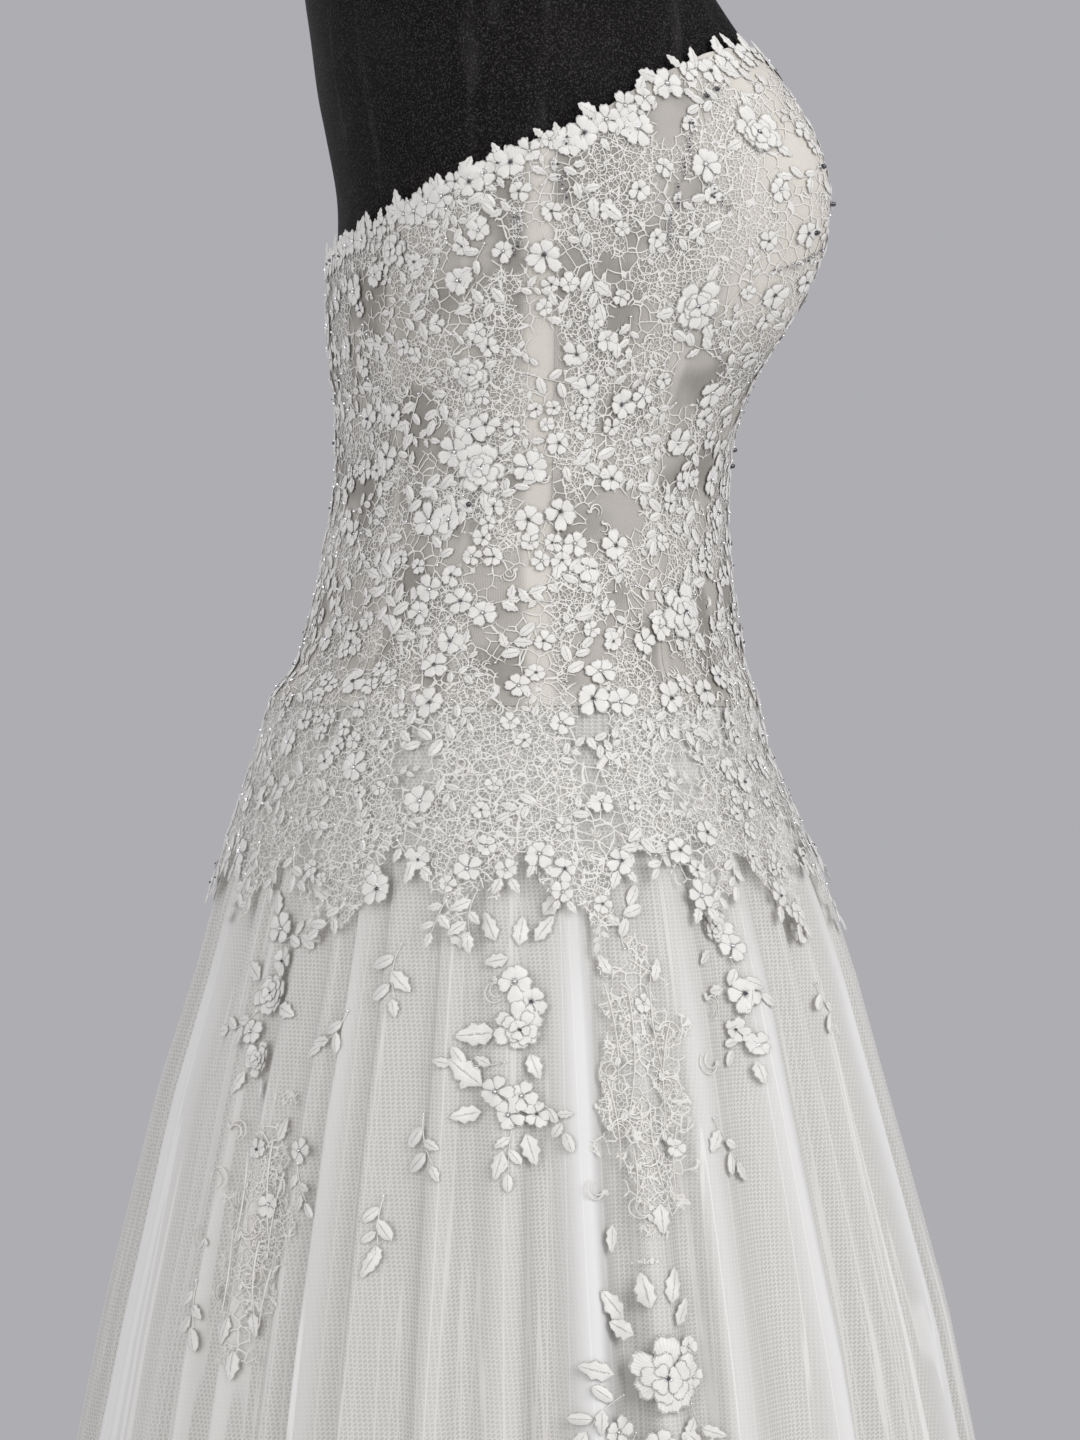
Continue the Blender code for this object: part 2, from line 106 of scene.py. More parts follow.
# The dress form: a limbless body of moulded shell under a stretched black jersey cover. The cover has a
# fine knit and a dusty nap. Faint paler streaks that run up from the bust are painted highlights along its
# wrinkles.
BODY = {
    "height": (800, 845, 890, 925, 955, 983, 1010, 1037, 1063, 1090, 1117, 1138, 1155, 1175, 1200, 1222,
               1243, 1280, 1300, 1330, 1370, 1410, 1440, 1464, 1482, 1498, 1520, 1562),
    "half_width": (160, 167, 170, 165, 157, 151, 144, 136, 130, 128, 129, 131, 134, 137, 141, 144,
                   147, 151, 154, 160, 167, 171, 166, 142, 98, 66, 57, 55),
    "front": (108, 116, 121, 121, 118, 117, 114, 110, 107, 106, 108, 111, 112, 113, 114, 115,
              115, 112, 109, 101, 89, 80, 68, 56, 45, 33, 25, 20),
    "back": (122, 134, 137, 135, 132, 128, 117.5, 110, 105, 100, 99, 99, 101.5, 103, 103.5, 103,
             103, 107, 110, 114, 119, 119, 117, 112, 107, 99, 90, 84),
    "bust": (0, 0, 0, 0, 0, 0, 0, 0, 0, 0, 5, 13, 23, 37, 50, 56, 57, 47, 36, 19, 4, 0, 0, 0, 0, 0, 0, 0),
    "widest_y": (5,) * 20 + (8, 14, 20, 26, 30, 32, 32, 32),
    "form_inset": (1,) * 12 + (1.5, 2.5, 3.5, 4, 4, 2) + (1,) * 10,
}
BUST_ANGLE = 33
BUST_SPREAD = 21
FORM_BUST_SHARE = 0.94
FORM_ROWS = 150
FORM_COLUMNS = 160
JERSEY_COLOUR = (0.0062, 0.0053, 0.0057)
# The pale colour of lint and wear, which is also the colour of the painted highlights along the wrinkles.
JERSEY_DUST_AND_HIGHLIGHT = (0.075, 0.071, 0.072)
JERSEY_STITCH = 1.1 * MM
# The stretch of the painted wrinkle highlights, which makes them long upright streaks.
JERSEY_HIGHLIGHT_STREAKS = (60.0, 60.0, 2.2)
JERSEY_RELIEF = 0.12 * MM


class Wire:
    """A value on its way through a material's nodes. Sums and products of wires add their Math nodes."""

    def __init__(self, tree, socket):
        self.tree = tree
        self.socket = socket

    def node(self, kind, settings, sockets, out=0):
        """Any node: its type, its settings, and the values or wires of its sockets."""
        made = self.tree.nodes.new(kind)
        for key, value in settings.items():
            setattr(made, key, value)
        for key, value in sockets.items():
            if isinstance(value, Wire):
                self.tree.links.new(value.socket, made.inputs[key])
            else:
                made.inputs[key].default_value = value
        return Wire(self.tree, made.outputs[out])

    def maths(self, operation, *others):
        """Maths on numbers."""
        values = (self, *others)
        return self.node("ShaderNodeMath", {"operation": operation}, dict(enumerate(values)))

    def vector(self, operation, *others, out=0):
        """Maths on places or directions. A number among the others counts for all three axes."""
        values = (self, *others)
        return self.node("ShaderNodeVectorMath", {"operation": operation}, dict(enumerate(values)), out)

    def mix(self, low, high):
        """Low where this is 0 and high where it is 1, both colours."""
        low, high = (value if isinstance(value, Wire) else (*value, 1) for value in (low, high))
        sockets = {0: self, 6: low, 7: high}
        return self.node("ShaderNodeMix", {"data_type": "RGBA", "clamp_factor": True}, sockets, 2)

    def step(self, low, high):
        """0 below low, 1 above high, and smooth between them."""
        sockets = {0: self, 1: low, 2: high, 3: 0.0, 4: 1.0}
        return self.node("ShaderNodeMapRange", {"interpolation_type": "SMOOTHSTEP"}, sockets)

    def noise(self, scale, detail=2.0):
        """Soft noise over this place, from 0 to 1, with features 1/scale metres across."""
        return self.node("ShaderNodeTexNoise", {}, {"Vector": self, "Scale": scale, "Detail": detail})

    def bump(self, height, strength=1.0):
        """A Normal that stands out by this many metres."""
        return self.node("ShaderNodeBump", {}, {"Height": self, "Distance": height, "Strength": strength})

    def across(self, axis):
        """One axis of a place: 0 for X, 1 for Y, 2 for Z."""
        return self.node("ShaderNodeSeparateXYZ", {}, {0: self}, axis)

    def wave(self, axis, length):
        """A sine wave along one axis of a place, this many metres long."""
        return (self.across(axis) * (2 * np.pi / length)).maths("SINE")

    def __add__(self, other):
        return self.maths("ADD", other)

    def __sub__(self, other):
        return self.maths("SUBTRACT", other)

    def __rsub__(self, other):
        return (self * -1.0).maths("ADD", other)

    def __mul__(self, other):
        return self.maths("MULTIPLY", other)

    def __truediv__(self, other):
        return self.maths("DIVIDE", other)

    __radd__ = __add__
    __rmul__ = __mul__


def finish(name, look, **constants):
    """A material: look turns the object's place and the cloth's own place into wires for the shader."""
    material = bpy.data.materials.new(name)
    material.use_nodes = True
    tree = material.node_tree
    shader = tree.nodes["Principled BSDF"]
    for key, value in constants.items():
        shader.inputs[key.replace("_", " ")].default_value = value
    place = tree.nodes.new("ShaderNodeTexCoord")
    wires = look(Wire(tree, place.outputs["Object"]), Wire(tree, place.outputs["UV"]))
    for key, wire in wires.items():
        tree.links.new(wire.socket, shader.inputs[key.replace("_", " ")])
    return material


def add_mesh(name, points, face_sets, flat, material, replaced=(), marks=None):
    """A piece from points, sets of faces with equally many corners, and each corner's place on the cloth.
    A mark is a named number on each point, for the material to read."""
    mesh = bpy.data.meshes.new(name)
    corners = np.concatenate([faces.ravel() for faces in face_sets])
    sizes = np.concatenate([np.full(len(faces), faces.shape[1]) for faces in face_sets])
    mesh.vertices.add(len(points))
    mesh.vertices.foreach_set("co", np.ascontiguousarray(points, np.float32).ravel())
    mesh.loops.add(len(corners))
    mesh.loops.foreach_set("vertex_index", corners.astype(np.int32))
    mesh.polygons.add(len(sizes))
    mesh.polygons.foreach_set("loop_start", (np.cumsum(sizes) - sizes).astype(np.int32))
    mesh.update(calc_edges=True)
    mesh.uv_layers.new(name="cloth").data.foreach_set("uv", np.ascontiguousarray(flat, np.float32).ravel())
    for mark, values in (marks or {}).items():
        layer = mesh.attributes.new(mark, "FLOAT", "POINT")
        layer.data.foreach_set("value", np.ascontiguousarray(values, np.float32).ravel())
    mesh.shade_smooth()
    mesh.materials.append(material)
    piece = bpy.data.objects.new(name, mesh)
    bpy.context.scene.collection.objects.link(piece)
    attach(piece, "root")
    if replaced:
        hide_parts(*replaced)
    return piece


def grid_faces(rows, columns):
    """Quads over a grid whose rows go down and whose columns go to the wearer's left, facing outwards."""
    corner = np.arange(rows * columns).reshape(rows, columns)
    quads = np.stack([corner[:-1, :-1], corner[1:, :-1], corner[1:, 1:], corner[:-1, 1:]], -1)
    return quads.reshape(-1, 4)


def laid_flat(points):
    """Each grid point's place on the cloth in metres: how far round and how far down it is."""
    ring = np.concatenate([points, points[:, :1]], 1)
    round_it = np.cumsum(np.linalg.norm(np.diff(ring, axis=1), axis=-1), 1)
    round_it = np.concatenate([np.zeros((len(points), 1)), round_it], 1)
    steps = np.linalg.norm(np.diff(points, axis=0), axis=-1).mean(1)
    down = np.concatenate([[0], -np.cumsum(steps)])
    return np.stack([round_it, down[:, None].repeat(round_it.shape[1], 1)], -1)


def add_tube(name, points, material, replaced=(), caps=(), marks=None):
    """A surface that closes round the body, from rows of points. Caps are the end rows to be closed."""
    rows, columns = points.shape[:2]
    quads = grid_faces(rows, columns + 1)
    vertex = np.arange(rows)[:, None] * columns + np.arange(columns + 1) % columns
    sets = [vertex.ravel()[quads]]
    places = [laid_flat(points).reshape(-1, 2)[quads].reshape(-1, 2)]
    for row in caps:
        ring = vertex[row, :-1] if row == 0 else vertex[row, -2::-1]
        sets.append(ring[None, :])
        places.append(np.zeros((columns, 2)))
    points = points.reshape(-1, 3)
    return add_mesh(name, points, sets, np.concatenate(places), material, replaced, marks)


def through(at, knots, values):
    """Cubic curve through a table's points, in metres, with slopes from their neighbours."""
    knots = np.array(knots, float) * MM
    values = np.array(values, float) * MM
    slopes = np.gradient(values, knots)
    index = np.clip(np.searchsorted(knots, at) - 1, 0, len(knots) - 2)
    width = knots[index + 1] - knots[index]
    share = np.clip((at - knots[index]) / width, 0, 1)
    rise = values[index + 1] - values[index]
    start = slopes[index] * width
    end = slopes[index + 1] * width
    return values[index] + share * (
        start + share * (3 * rise - 2 * start - end + share * (start + end - 2 * rise))
    )


def turned(angle):
    """The same angle between -180 and 180 degrees."""
    return (np.asarray(angle, float) + 180) % 360 - 180


def all_round(columns):
    """One row of angles, evenly round the body."""
    return np.arange(columns)[None, :] * 360 / columns


def bell(off, power=2):
    """1 where off is 0, and falling off to both sides: the more steeply, the higher the power."""
    return np.exp(-(np.abs(off) ** power))


def oval(angle, half_width, front, back, widest_y):
    """Half an ellipse forward of the widest line and half an ellipse behind it."""
    sine = np.sin(np.radians(angle))
    cosine = np.cos(np.radians(angle))
    depth = np.where(cosine > 0, front + widest_y, back - widest_y)
    return np.stack([half_width * sine, widest_y - depth * cosine], -1)


def body(angle, height, bust_share=1.0):
    """The body's outline: an oval at each height, with a cup raised forward on each side."""
    width, front, back, bust, widest = (
        through(height, BODY["height"], BODY[name])
        for name in ("half_width", "front", "back", "bust", "widest_y")
    )
    points = oval(angle, width, front, back, widest)
    lobe = bell((np.abs(turned(angle)) - BUST_ANGLE) / BUST_SPREAD)
    points[..., 1] -= bust_share * bust * lobe
    return points


def moved_out(outline, angle, height, distance):
    """Points of an outline, moved out level along its normal, as (x, y, z)."""
    angle, height = np.broadcast_arrays(np.asarray(angle, float), np.asarray(height, float))
    tangent = outline(angle + 0.2, height) - outline(angle - 0.2, height)
    normal = np.stack([tangent[..., 1], -tangent[..., 0]], -1)
    normal /= np.linalg.norm(normal, axis=-1, keepdims=True)
    level = outline(angle, height) + normal * np.asarray(distance)[..., None]
    return np.concatenate([level, height[..., None]], -1)


def jersey(place, cloth):
    """Black knit with lint and a little paler worn places, and upright streaks of painted wrinkle highlight.
    """
    lint = place.noise(1100.0, 3.0).step(0.48, 0.7)
    # Painted highlight: paler upright streaks where light would catch the cover's wrinkles.
    wrinkle_highlights = place.node("ShaderNodeMapping", {}, {0: place, 3: JERSEY_HIGHLIGHT_STREAKS}).noise(1.0, 3.0).step(0.56, 0.72)
    worn = place.noise(14.0).step(0.45, 0.9)
    # The pale share is lint and wear, plus the painted wrinkle highlights.
    dust_and_highlights = lint * 0.62 + wrinkle_highlights * 0.22 + worn * 0.15
    knit = cloth.wave(0, JERSEY_STITCH) * cloth.wave(1, JERSEY_STITCH)
    return {
        "Base_Color": dust_and_highlights.mix(JERSEY_COLOUR, JERSEY_DUST_AND_HIGHLIGHT),
        "Normal": (knit + place.noise(1400.0) * 2.0).bump(JERSEY_RELIEF, 0.6),
    }


form_angles = all_round(FORM_COLUMNS)
form_heights = np.linspace(BODY["height"][-1], BODY["height"][0], FORM_ROWS)[:, None] * MM
form_inset = -through(form_heights, BODY["height"], BODY["form_inset"])
form_points = moved_out(
    lambda angle, height: body(angle, height, FORM_BUST_SHARE),
    form_angles,
    form_heights,
    form_inset.repeat(FORM_COLUMNS, 1),
)
jersey_finish = finish("form_jersey", jersey, Roughness=0.9, Specular_IOR_Level=0.12)
add_tube("dress_form_body", form_points, jersey_finish, ("form_torso",), caps=(0, -1))

# The stand: a pole and a weighted round foot in black powder coat, with a cap on the form's neck.
STAND_NODES = ("stand_base", "stand_pole", "stand_collar", "form_neck_cap")
COAT_DARK = (0.026, 0.026, 0.028)
COAT_PALE = (0.05, 0.05, 0.053)
COAT_RELIEF = 0.05 * MM


def powder_coat(place, cloth):
    """Black paint with a fine grain."""
    grain = place.noise(2400.0, 1.0)
    return {
        "Base_Color": grain.mix(COAT_DARK, COAT_PALE),
        "Roughness": grain * 0.2 + 0.34,
        "Normal": grain.bump(COAT_RELIEF, 0.5),
    }


stand_finish = finish("powder_coat", powder_coat, Metallic=0.2)
for node in STAND_NODES:
    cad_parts[node].data.materials.clear()
    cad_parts[node].data.materials.append(stand_finish)

# The lining: an opaque matt satin skirt in a warm grey-beige, which the net above it hangs clear of. It
# falls in a few broad soft folds.
SKIRT = {
    "height": (4, 230, 450, 670, 780, 845, 890, 925, 955, 982),
    "half_width": (410, 362, 312, 262, 232, 213, 197, 182, 168, 155),
    "front": (372, 316, 262, 217, 187, 170, 155, 138.5, 125.5, 120.5),
    "back": (370, 312, 257, 215, 190, 170, 158.5, 148, 139, 131.5),
    "gather": (18, 14, 11, 8, 6, 4, 2.6, 1.6, 0.8, 0),
    "inner_gap": (30, 24, 20, 16, 14, 12, 9, 6, 4, 1.5),
    "lining_gap": (46, 40, 34, 28, 24, 20, 16, 11, 7.5, 3.0),
}
SKIRT_WIDEST_Y = 5 * MM
LINING_ROWS = 80
LINING_COLUMNS = 240
LINING_TOP = 980
LINING_HEM = 8
LINING_FOLDS = 11
LINING_FOLD = 5 * MM
# How much of their depth the lining's folds have at some heights in metres.
LINING_FALL = ((0, 0.9, 0.98), (1, 0.15, 0))
LINING_COLOUR = (0.76, 0.73, 0.68)
SATIN_WEAVE = 0.5 * MM
SATIN_RELIEF = 0.5 * MM


def skirt_value(height, name):
    """A named column of the skirt's table at any height."""
    return np.interp(height, np.array(SKIRT["height"]) * MM, np.array(SKIRT[name]) * MM)


def skirt(angle, height):
    """The mean outline of the outer net at each height, before its folds."""
    sizes = [skirt_value(height, name) for name in ("half_width", "front", "back")]
    return oval(angle, *sizes, SKIRT_WIDEST_Y)


def dimmed(colour, share):
    """A darker shade of a colour."""
    return tuple(share * part for part in colour)


def satin(place, cloth):
    """Warm cloth in soft uneven shades, with a fine upright weave."""
    shade = place.noise(9.0).mix(LINING_COLOUR, dimmed(LINING_COLOUR, 0.88))
    relief = cloth.wave(0, SATIN_WEAVE) * 0.1 + place.noise(60.0)
    return {"Base_Color": shade, "Normal": relief.bump(SATIN_RELIEF, 0.4)}


lining_angles = all_round(LINING_COLUMNS)
lining_heights = np.linspace(LINING_TOP, LINING_HEM, LINING_ROWS)[:, None] * MM
lining_fall = np.interp(lining_heights, *LINING_FALL)
lining_turn = LINING_FOLDS * lining_angles + 40 * np.sin(np.radians(2 * lining_angles))
lining_wave = np.sin(np.radians(lining_turn))
lining_depth = -skirt_value(lining_heights, "lining_gap") + LINING_FOLD * lining_fall * lining_wave
lining_points = moved_out(skirt, lining_angles, lining_heights, lining_depth)
lining_finish = finish("lining_satin", satin, Roughness=0.55, Sheen_Weight=0.1)
lining_nodes = [f"lining_{gore}" for gore in ("front", "left", "back", "right")]
lining = add_tube("skirt_lining", lining_points, lining_finish, lining_nodes)


def declare_cloth(points):
    """Lays a skirt layer's points out flat, round and down the cloth, and does nothing more with them."""
    flat = laid_flat(points)


declare_cloth(lining_points)

# The net: bridal tulle with six-sided holes 2.4 mm across, gathered into the waist seam in two layers.
# The gathers open downwards into deep uneven folds that lean over each other, so the net doubles and
# turns white along them. The widest fold falls from the side seam.
NET_HOLE = 2.4 * MM
NET_THREAD = 0.56 * MM
NET_COLOUR = (0.868, 0.85, 0.808)
DOUBLED_COLOUR = (0.895, 0.885, 0.868)
NET_HAZE = 0.62
NET_SOFTNESS = 0.9
NET_TOP = 984
NET_HEM = 4
NET_LIFT = 0.8 * MM
NET_DRIFT = (2.5 * MM, 1.5 * MM)
# Fine upright lines in the net: how close they are round the skirt and up it, how thin, and how white.
LINE_SCALE = (26.0, 1.5)
LINE_WIDTH = (0.004, 0.02)
LINE_HAZE = 0.26
DOUBLED_HAZE = 0.34
THREAD_HAZE = 0.86
OUTER_NET = {
    "folds": 42, "per_fold": 24, "rows": 60, "seed": 5, "gap": None, "depth": 1.0, "lean": 1.0,
}
INNER_NET = {
    "folds": 34, "per_fold": 16, "rows": 40, "seed": 9, "gap": "inner_gap", "depth": 0.6, "lean": 0.8,
}
OUTER_GORES = ("front", "back", "side_front_left", "side_front_right", "side_back_left", "side_back_right")
# A main fold's angle, how much deeper and more leaning it is than the others, and the degrees by which it
# pushes its neighbours away. Both sides have them.
MAIN_FOLDS = (
    (80.0, 0.22, -0.3, 2.6), (47, 0.1, 0.0, 0.5), (22, 0.2, 0.2, 0.5), (100, -0.3, -0.2, 0.0),
    (117, 0.0, 0.0, 0.0), (153, 0.3, 0.5, 0.5),
)
FOLD_DEPTH = {"height": (4, 600, 800, 930, 983), "depth": (14.5, 6.8, 4.0, 1.8, 0.3)}
LEAN_DEPTH = {"height": (4, 600, 800, 930, 983), "depth": (17, 8.5, 5.5, 2.0, 0)}
GATHER_RIPPLES = 5
GATHER_RIPPLE = 0.9 * MM
GATHER_FADE = 110 * MM
DOUBLED_FADE = 160 * MM


def net_folds(folds, seed):
    """Each fold's middle angle, depth, lean and roundness, uneven but the same on every run."""
    draw = np.random.default_rng(seed)
    widths = draw.uniform(0.6, 1.45, folds)
    middles = np.cumsum(widths) / widths.sum() * 360 - 180
    depths = draw.uniform(0.5, 1.0, folds)
    leans = draw.uniform(0.1, 0.5, folds) * np.where(draw.random(folds) < 0.5, -1, 1)
    for angle, deeper, lean, wider in MAIN_FOLDS:
        for side in (-1, 1):
            nearest = np.argmin(np.abs(turned(middles - side * angle)))
            middles[nearest] = side * angle
            middles[nearest - 1] -= wider
            middles[(nearest + 1) % folds] += wider
            depths[nearest] = 1.0 + deeper
            leans[nearest] = side * (0.4 + lean)
    return middles, depths, leans, draw.uniform(-1, 1, folds)


def net_points(layer):
    """The folded net. A fold is one wave out and in round its turn, and its crest leans sideways: out by
    depth times cos(turn), along by lean times cos(turn), so a steep lean lays it over its neighbour. Also
    how far the net is doubled at each point: along the crests of the main folds and of some others."""
    folds = layer["folds"]
    middles, depths, leans, rounds = net_folds(folds, layer["seed"])
    at = np.arange(folds * layer["per_fold"]) / layer["per_fold"]
    share = np.linspace(0, 1, layer["rows"])[:, None]
    heights = (NET_TOP + (NET_HEM - NET_TOP) * share**0.9) * MM
    knots = np.arange(-1, folds + 1)
    angle = np.interp(at % folds, knots, [middles[-1] - 360, *middles, middles[0] + 360])
    depth, lean, rounded = (
        np.interp(at % folds, knots, [row[-1], *row, row[0]]) for row in (depths, leans, rounds)
    )
    turn = 2 * np.pi * at
    fall = np.maximum(0, NET_TOP * MM - heights)
    out = depth * (np.cos(turn) + 0.18 * rounded * np.cos(2 * turn + 0.5)) * layer["depth"]
    out = out * through(heights, FOLD_DEPTH["height"], FOLD_DEPTH["depth"])
    out = out + 0.16 * out * np.sin(7 * fall / 0.5 + 3 * rounded)
    ripple = GATHER_RIPPLE * np.cos(GATHER_RIPPLES * turn + 2 * rounded) * np.exp(-fall / GATHER_FADE)
    along = lean * (np.cos(turn + 0.6 * rounded) - 0.2) * layer["lean"]
    along = along * through(heights, LEAN_DEPTH["height"], LEAN_DEPTH["depth"])
    radius = skirt_value(heights, "half_width")
    gap = -skirt_value(heights, layer["gap"]) if layer["gap"] else NET_LIFT
    many = np.clip((depths - 0.5) / 0.75, 0.12, 1.1)[np.round(at).astype(int) % folds]
    crest = bell(((at + 0.5) % 1 - 0.5) / (0.09 + 0.24 * many), 2.6)
    doubled = np.minimum(many, 1) * crest * np.clip(fall / DOUBLED_FADE, 0, 1)
    return moved_out(skirt, angle + np.degrees(along / radius), heights, out + ripple + gap), doubled


def mark(place, name):
    """A piece's own named number, as a wire."""
    return place.node("ShaderNodeAttribute", {"attribute_name": name}, {}, 2)


def softened(place):
    """The cloth's normal, eased towards straight out from the dress, as light that spreads through layers
    of net evens out its folds. The outward way is turned round on faces seen from inside."""
    facing = place.node("ShaderNodeNewGeometry", {}, {}, 1)
    outward = place.vector("MULTIPLY", (1.0, 1.0, 0.0)).vector("NORMALIZE")
    same = facing.vector("DOT_PRODUCT", outward, out=1).maths("SIGN")
    outward = outward.vector("MULTIPLY", same * NET_SOFTNESS)
    facing = facing.vector("MULTIPLY", (1 - NET_SOFTNESS,) * 3)
    return facing.vector("ADD", outward).vector("NORMALIZE")


def net(place, cloth):
    """Threads round six-sided holes: the edges between the nearer centres of two crossed lattices."""
    drift = place.noise(22.0) - 0.5
    across = cloth.across(0) + drift * NET_DRIFT[0]
    down = cloth.across(1) + drift * NET_DRIFT[1]
    tall = NET_HOLE * np.sqrt(3)
    reach = []
    for shift in (0.0, 0.5):
        x = (across + shift * NET_HOLE).maths("WRAP", NET_HOLE / 2, -NET_HOLE / 2).maths("ABSOLUTE")
        y = (down + shift * tall).maths("WRAP", tall / 2, -tall / 2).maths("ABSOLUTE")
        reach.append(x.maths("MAXIMUM", x * 0.5 + y * (np.sqrt(3) / 2)))
    edge = NET_HOLE / 2 - reach[0].maths("MINIMUM", reach[1])
    thread = 1 - edge.step(NET_THREAD * 0.42, NET_THREAD * 0.62)
    round_it = place.across(0).maths("ARCTAN2", place.across(1))
    upright = {0: round_it * LINE_SCALE[0], 1: place.across(2) * LINE_SCALE[1]}
    fine = place.node("ShaderNodeCombineXYZ", {}, upright).noise(1.0, 1.0)
    lines = 1 - (fine - 0.5).maths("ABSOLUTE").step(*LINE_WIDTH)
    layers = mark(place, "doubled") * (fine * 0.6 + 0.6)
    haze = layers * DOUBLED_HAZE + lines * LINE_HAZE + NET_HAZE
    mottle = thread * 0.6 + place.noise(40.0) * 0.4
    shade = mottle.mix(dimmed(NET_COLOUR, 0.93), NET_COLOUR)
    return {
        "Base_Color": layers.step(0.3, 0.9).mix(shade, DOUBLED_COLOUR),
        "Alpha": haze.maths("MAXIMUM", thread * THREAD_HAZE),
        "Normal": softened(place),
    }


net_finish = finish("bridal_net", net, Roughness=0.8, Sheen_Weight=0.15)


def hang_net(name, layer, nodes):
    """Makes one layer of net and returns its points."""
    points, doubled = net_points(layer)
    piece = add_tube(name, points, net_finish, nodes, marks={"doubled": doubled})
    declare_cloth(points)
    return points


hang_net("tulle_inner_layer", INNER_NET, ("tulle_inner_front", "tulle_inner_back"))
outer_nodes = [f"tulle_outer_{gore}" for gore in OUTER_GORES]
outer_points = hang_net("tulle_outer_layer", OUTER_NET, outer_nodes)

# The bodice: a boned base over the form, in warm sheer net that lets the black cover through as grey. The
# padded cups are opaque cream, and so are the channels of the bones beside each seam and at the top edge.
WAIST_SEAM = 983 * MM
LAP_BLEND = 20 * MM
LAP_LIFT = 5.3 * MM
BODICE_GAP = 0.2 * MM
LAP_GAP = 2.0 * MM
NET_GAP = 0.4 * MM
BASE_LIFT = 0.6 * MM
BASE_TUCK = 3 * MM
BODICE_ROWS = 100
BODICE_COLUMNS = 320
NECKLINE = {
    "angle": (0, 8, 16, 27, 38, 48, 59, 71, 90, 109, 132, 152, 180),
    "height": (1281, 1289, 1302, 1314, 1314, 1306, 1291, 1271, 1253, 1240, 1225, 1218, 1217),
}
CHANNELS = {"angle": (0, 24, 52, 84, 104, 128, 154, 180), "half_width": (4, 3, 4, 9, 2.5, 4, 2.5, 9)}
CHANNEL_SHARE = (0.5, 0.45, 0.6, 1.0, 0.35, 0.6, 0.35, 0.8)
CUP_BOTTOM = 1163 * MM
CUP_RISE = 12 * MM
CUP_EDGE = 3 * MM
CUP_SIDE = 50
TOP_BAND = 9 * MM
WAIST_TAPE = 7 * MM
CORSET_HOLE = 1.25 * MM
CORSET_RELIEF = 0.1 * MM
SHEER_COLOUR = (0.50, 0.47, 0.425)
SHEER_DARK = (0.31, 0.29, 0.26)
BACKED_COLOUR = (0.71, 0.675, 0.605)
HOLE_COLOUR = (0.06, 0.055, 0.05)
BODICE_NODES = ["bodice_front"] + [
    f"bodice_{panel}_{side}"
    for panel in ("cup", "side_front", "side_back", "back")
    for side in ("left", "right")
]


def fold_envelope(points):
    """How far the net's crests stand out of the skirt's mean outline: the furthest point in each degree."""
    heights = points[..., 2]
    across = points[..., 0] / skirt_value(heights, "half_width")
    ahead = SKIRT_WIDEST_Y - points[..., 1]
    depth = np.where(ahead > 0, skirt_value(heights, "front") + SKIRT_WIDEST_Y,
                     skirt_value(heights, "back") - SKIRT_WIDEST_Y)
    at = np.degrees(np.arctan2(across, ahead / depth))
    radius = np.linalg.norm(points[..., :2] - (0, SKIRT_WIDEST_Y), axis=-1)
    out = radius * (1 - 1 / np.hypot(across, ahead / depth))
    table = np.full((len(points), 360), -1.0)
    np.maximum.at(table, (np.arange(len(points))[:, None], (at + 180).astype(int) % 360), out)
    wide = np.max([np.roll(table, shift, 1) for shift in (-1, 0, 1)], 0)
    return np.mean([np.roll(wide, shift, 1) for shift in (-1, 0, 1)], 0)


net_heights = outer_points[:, 0, 2]
envelope = fold_envelope(outer_points)


def on_skirt(angle, height, lift):
    """A place on the skirt, lying over the crests of the outer net's folds."""
    row = np.interp(-height, -net_heights, np.arange(len(net_heights)))
    column = (turned(angle) + 179.5) % 360
    low = np.minimum(row.astype(int), len(net_heights) - 2)
    left = column.astype(int)
    right = (left + 1) % 360
    down = row - low
    over = column - left
    crest = (envelope[low, left] * (1 - over) + envelope[low, right] * over) * (1 - down)
    crest += (envelope[low + 1, left] * (1 - over) + envelope[low + 1, right] * over) * down
    return moved_out(skirt, angle, height, crest + lift)


def on_bodice(angle, height, lift):
    """A place on the bodice: on the body above the waist seam, and over the gathered net below it."""
    rise = np.clip((WAIST_SEAM + LAP_BLEND - height) / LAP_BLEND, 0, 1)
    over = BODICE_GAP + LAP_LIFT * rise * rise * (3 - 2 * rise)
    above = moved_out(body, angle, np.maximum(height, WAIST_SEAM), over + lift)
    level = np.minimum(height, WAIST_SEAM)
    over_net = on_skirt(angle, level, lift + NET_GAP)
    over_lap = moved_out(skirt, angle, level, LAP_GAP + skirt_value(level, "gather") + lift)
    further = np.hypot(over_net[..., 0], over_net[..., 1]) > np.hypot(over_lap[..., 0], over_lap[..., 1])
    below = np.where(further[..., None], over_net, over_lap)
    points = np.where((height > WAIST_SEAM)[..., None], above, below)
    points[..., 2] = height
    return points


def neckline(angle):
    """Height of the bodice's top edge."""
    return np.interp(np.abs(turned(angle)), NECKLINE["angle"], np.array(NECKLINE["height"]) * MM)


def between(start, end, share):
    """From start, where share is 0, to end, where it is 1."""
    return start * (1 - share) + end * share


def corset_net(place, cloth):
    """Sheer net over black, grey and uneven, and cream where it is backed."""
    backed = mark(place, "backed")
    mottle = place.noise(70.0)
    sheer = place.noise(26.0, 1.0).step(0.42, 0.6).mix(SHEER_COLOUR, SHEER_DARK)
    shade = (backed * 0.85 + mottle * 0.3 - 0.1).mix(sheer, BACKED_COLOUR)
    holes = cloth.wave(0, CORSET_HOLE) * cloth.wave(1, CORSET_HOLE) * 0.5 + 0.5
    shade = ((1 - backed) * (1 - holes) * 0.3).mix(shade, HOLE_COLOUR)
    return {"Base_Color": shade, "Normal": (holes + place.noise(300.0)).bump(CORSET_RELIEF, 0.5)}


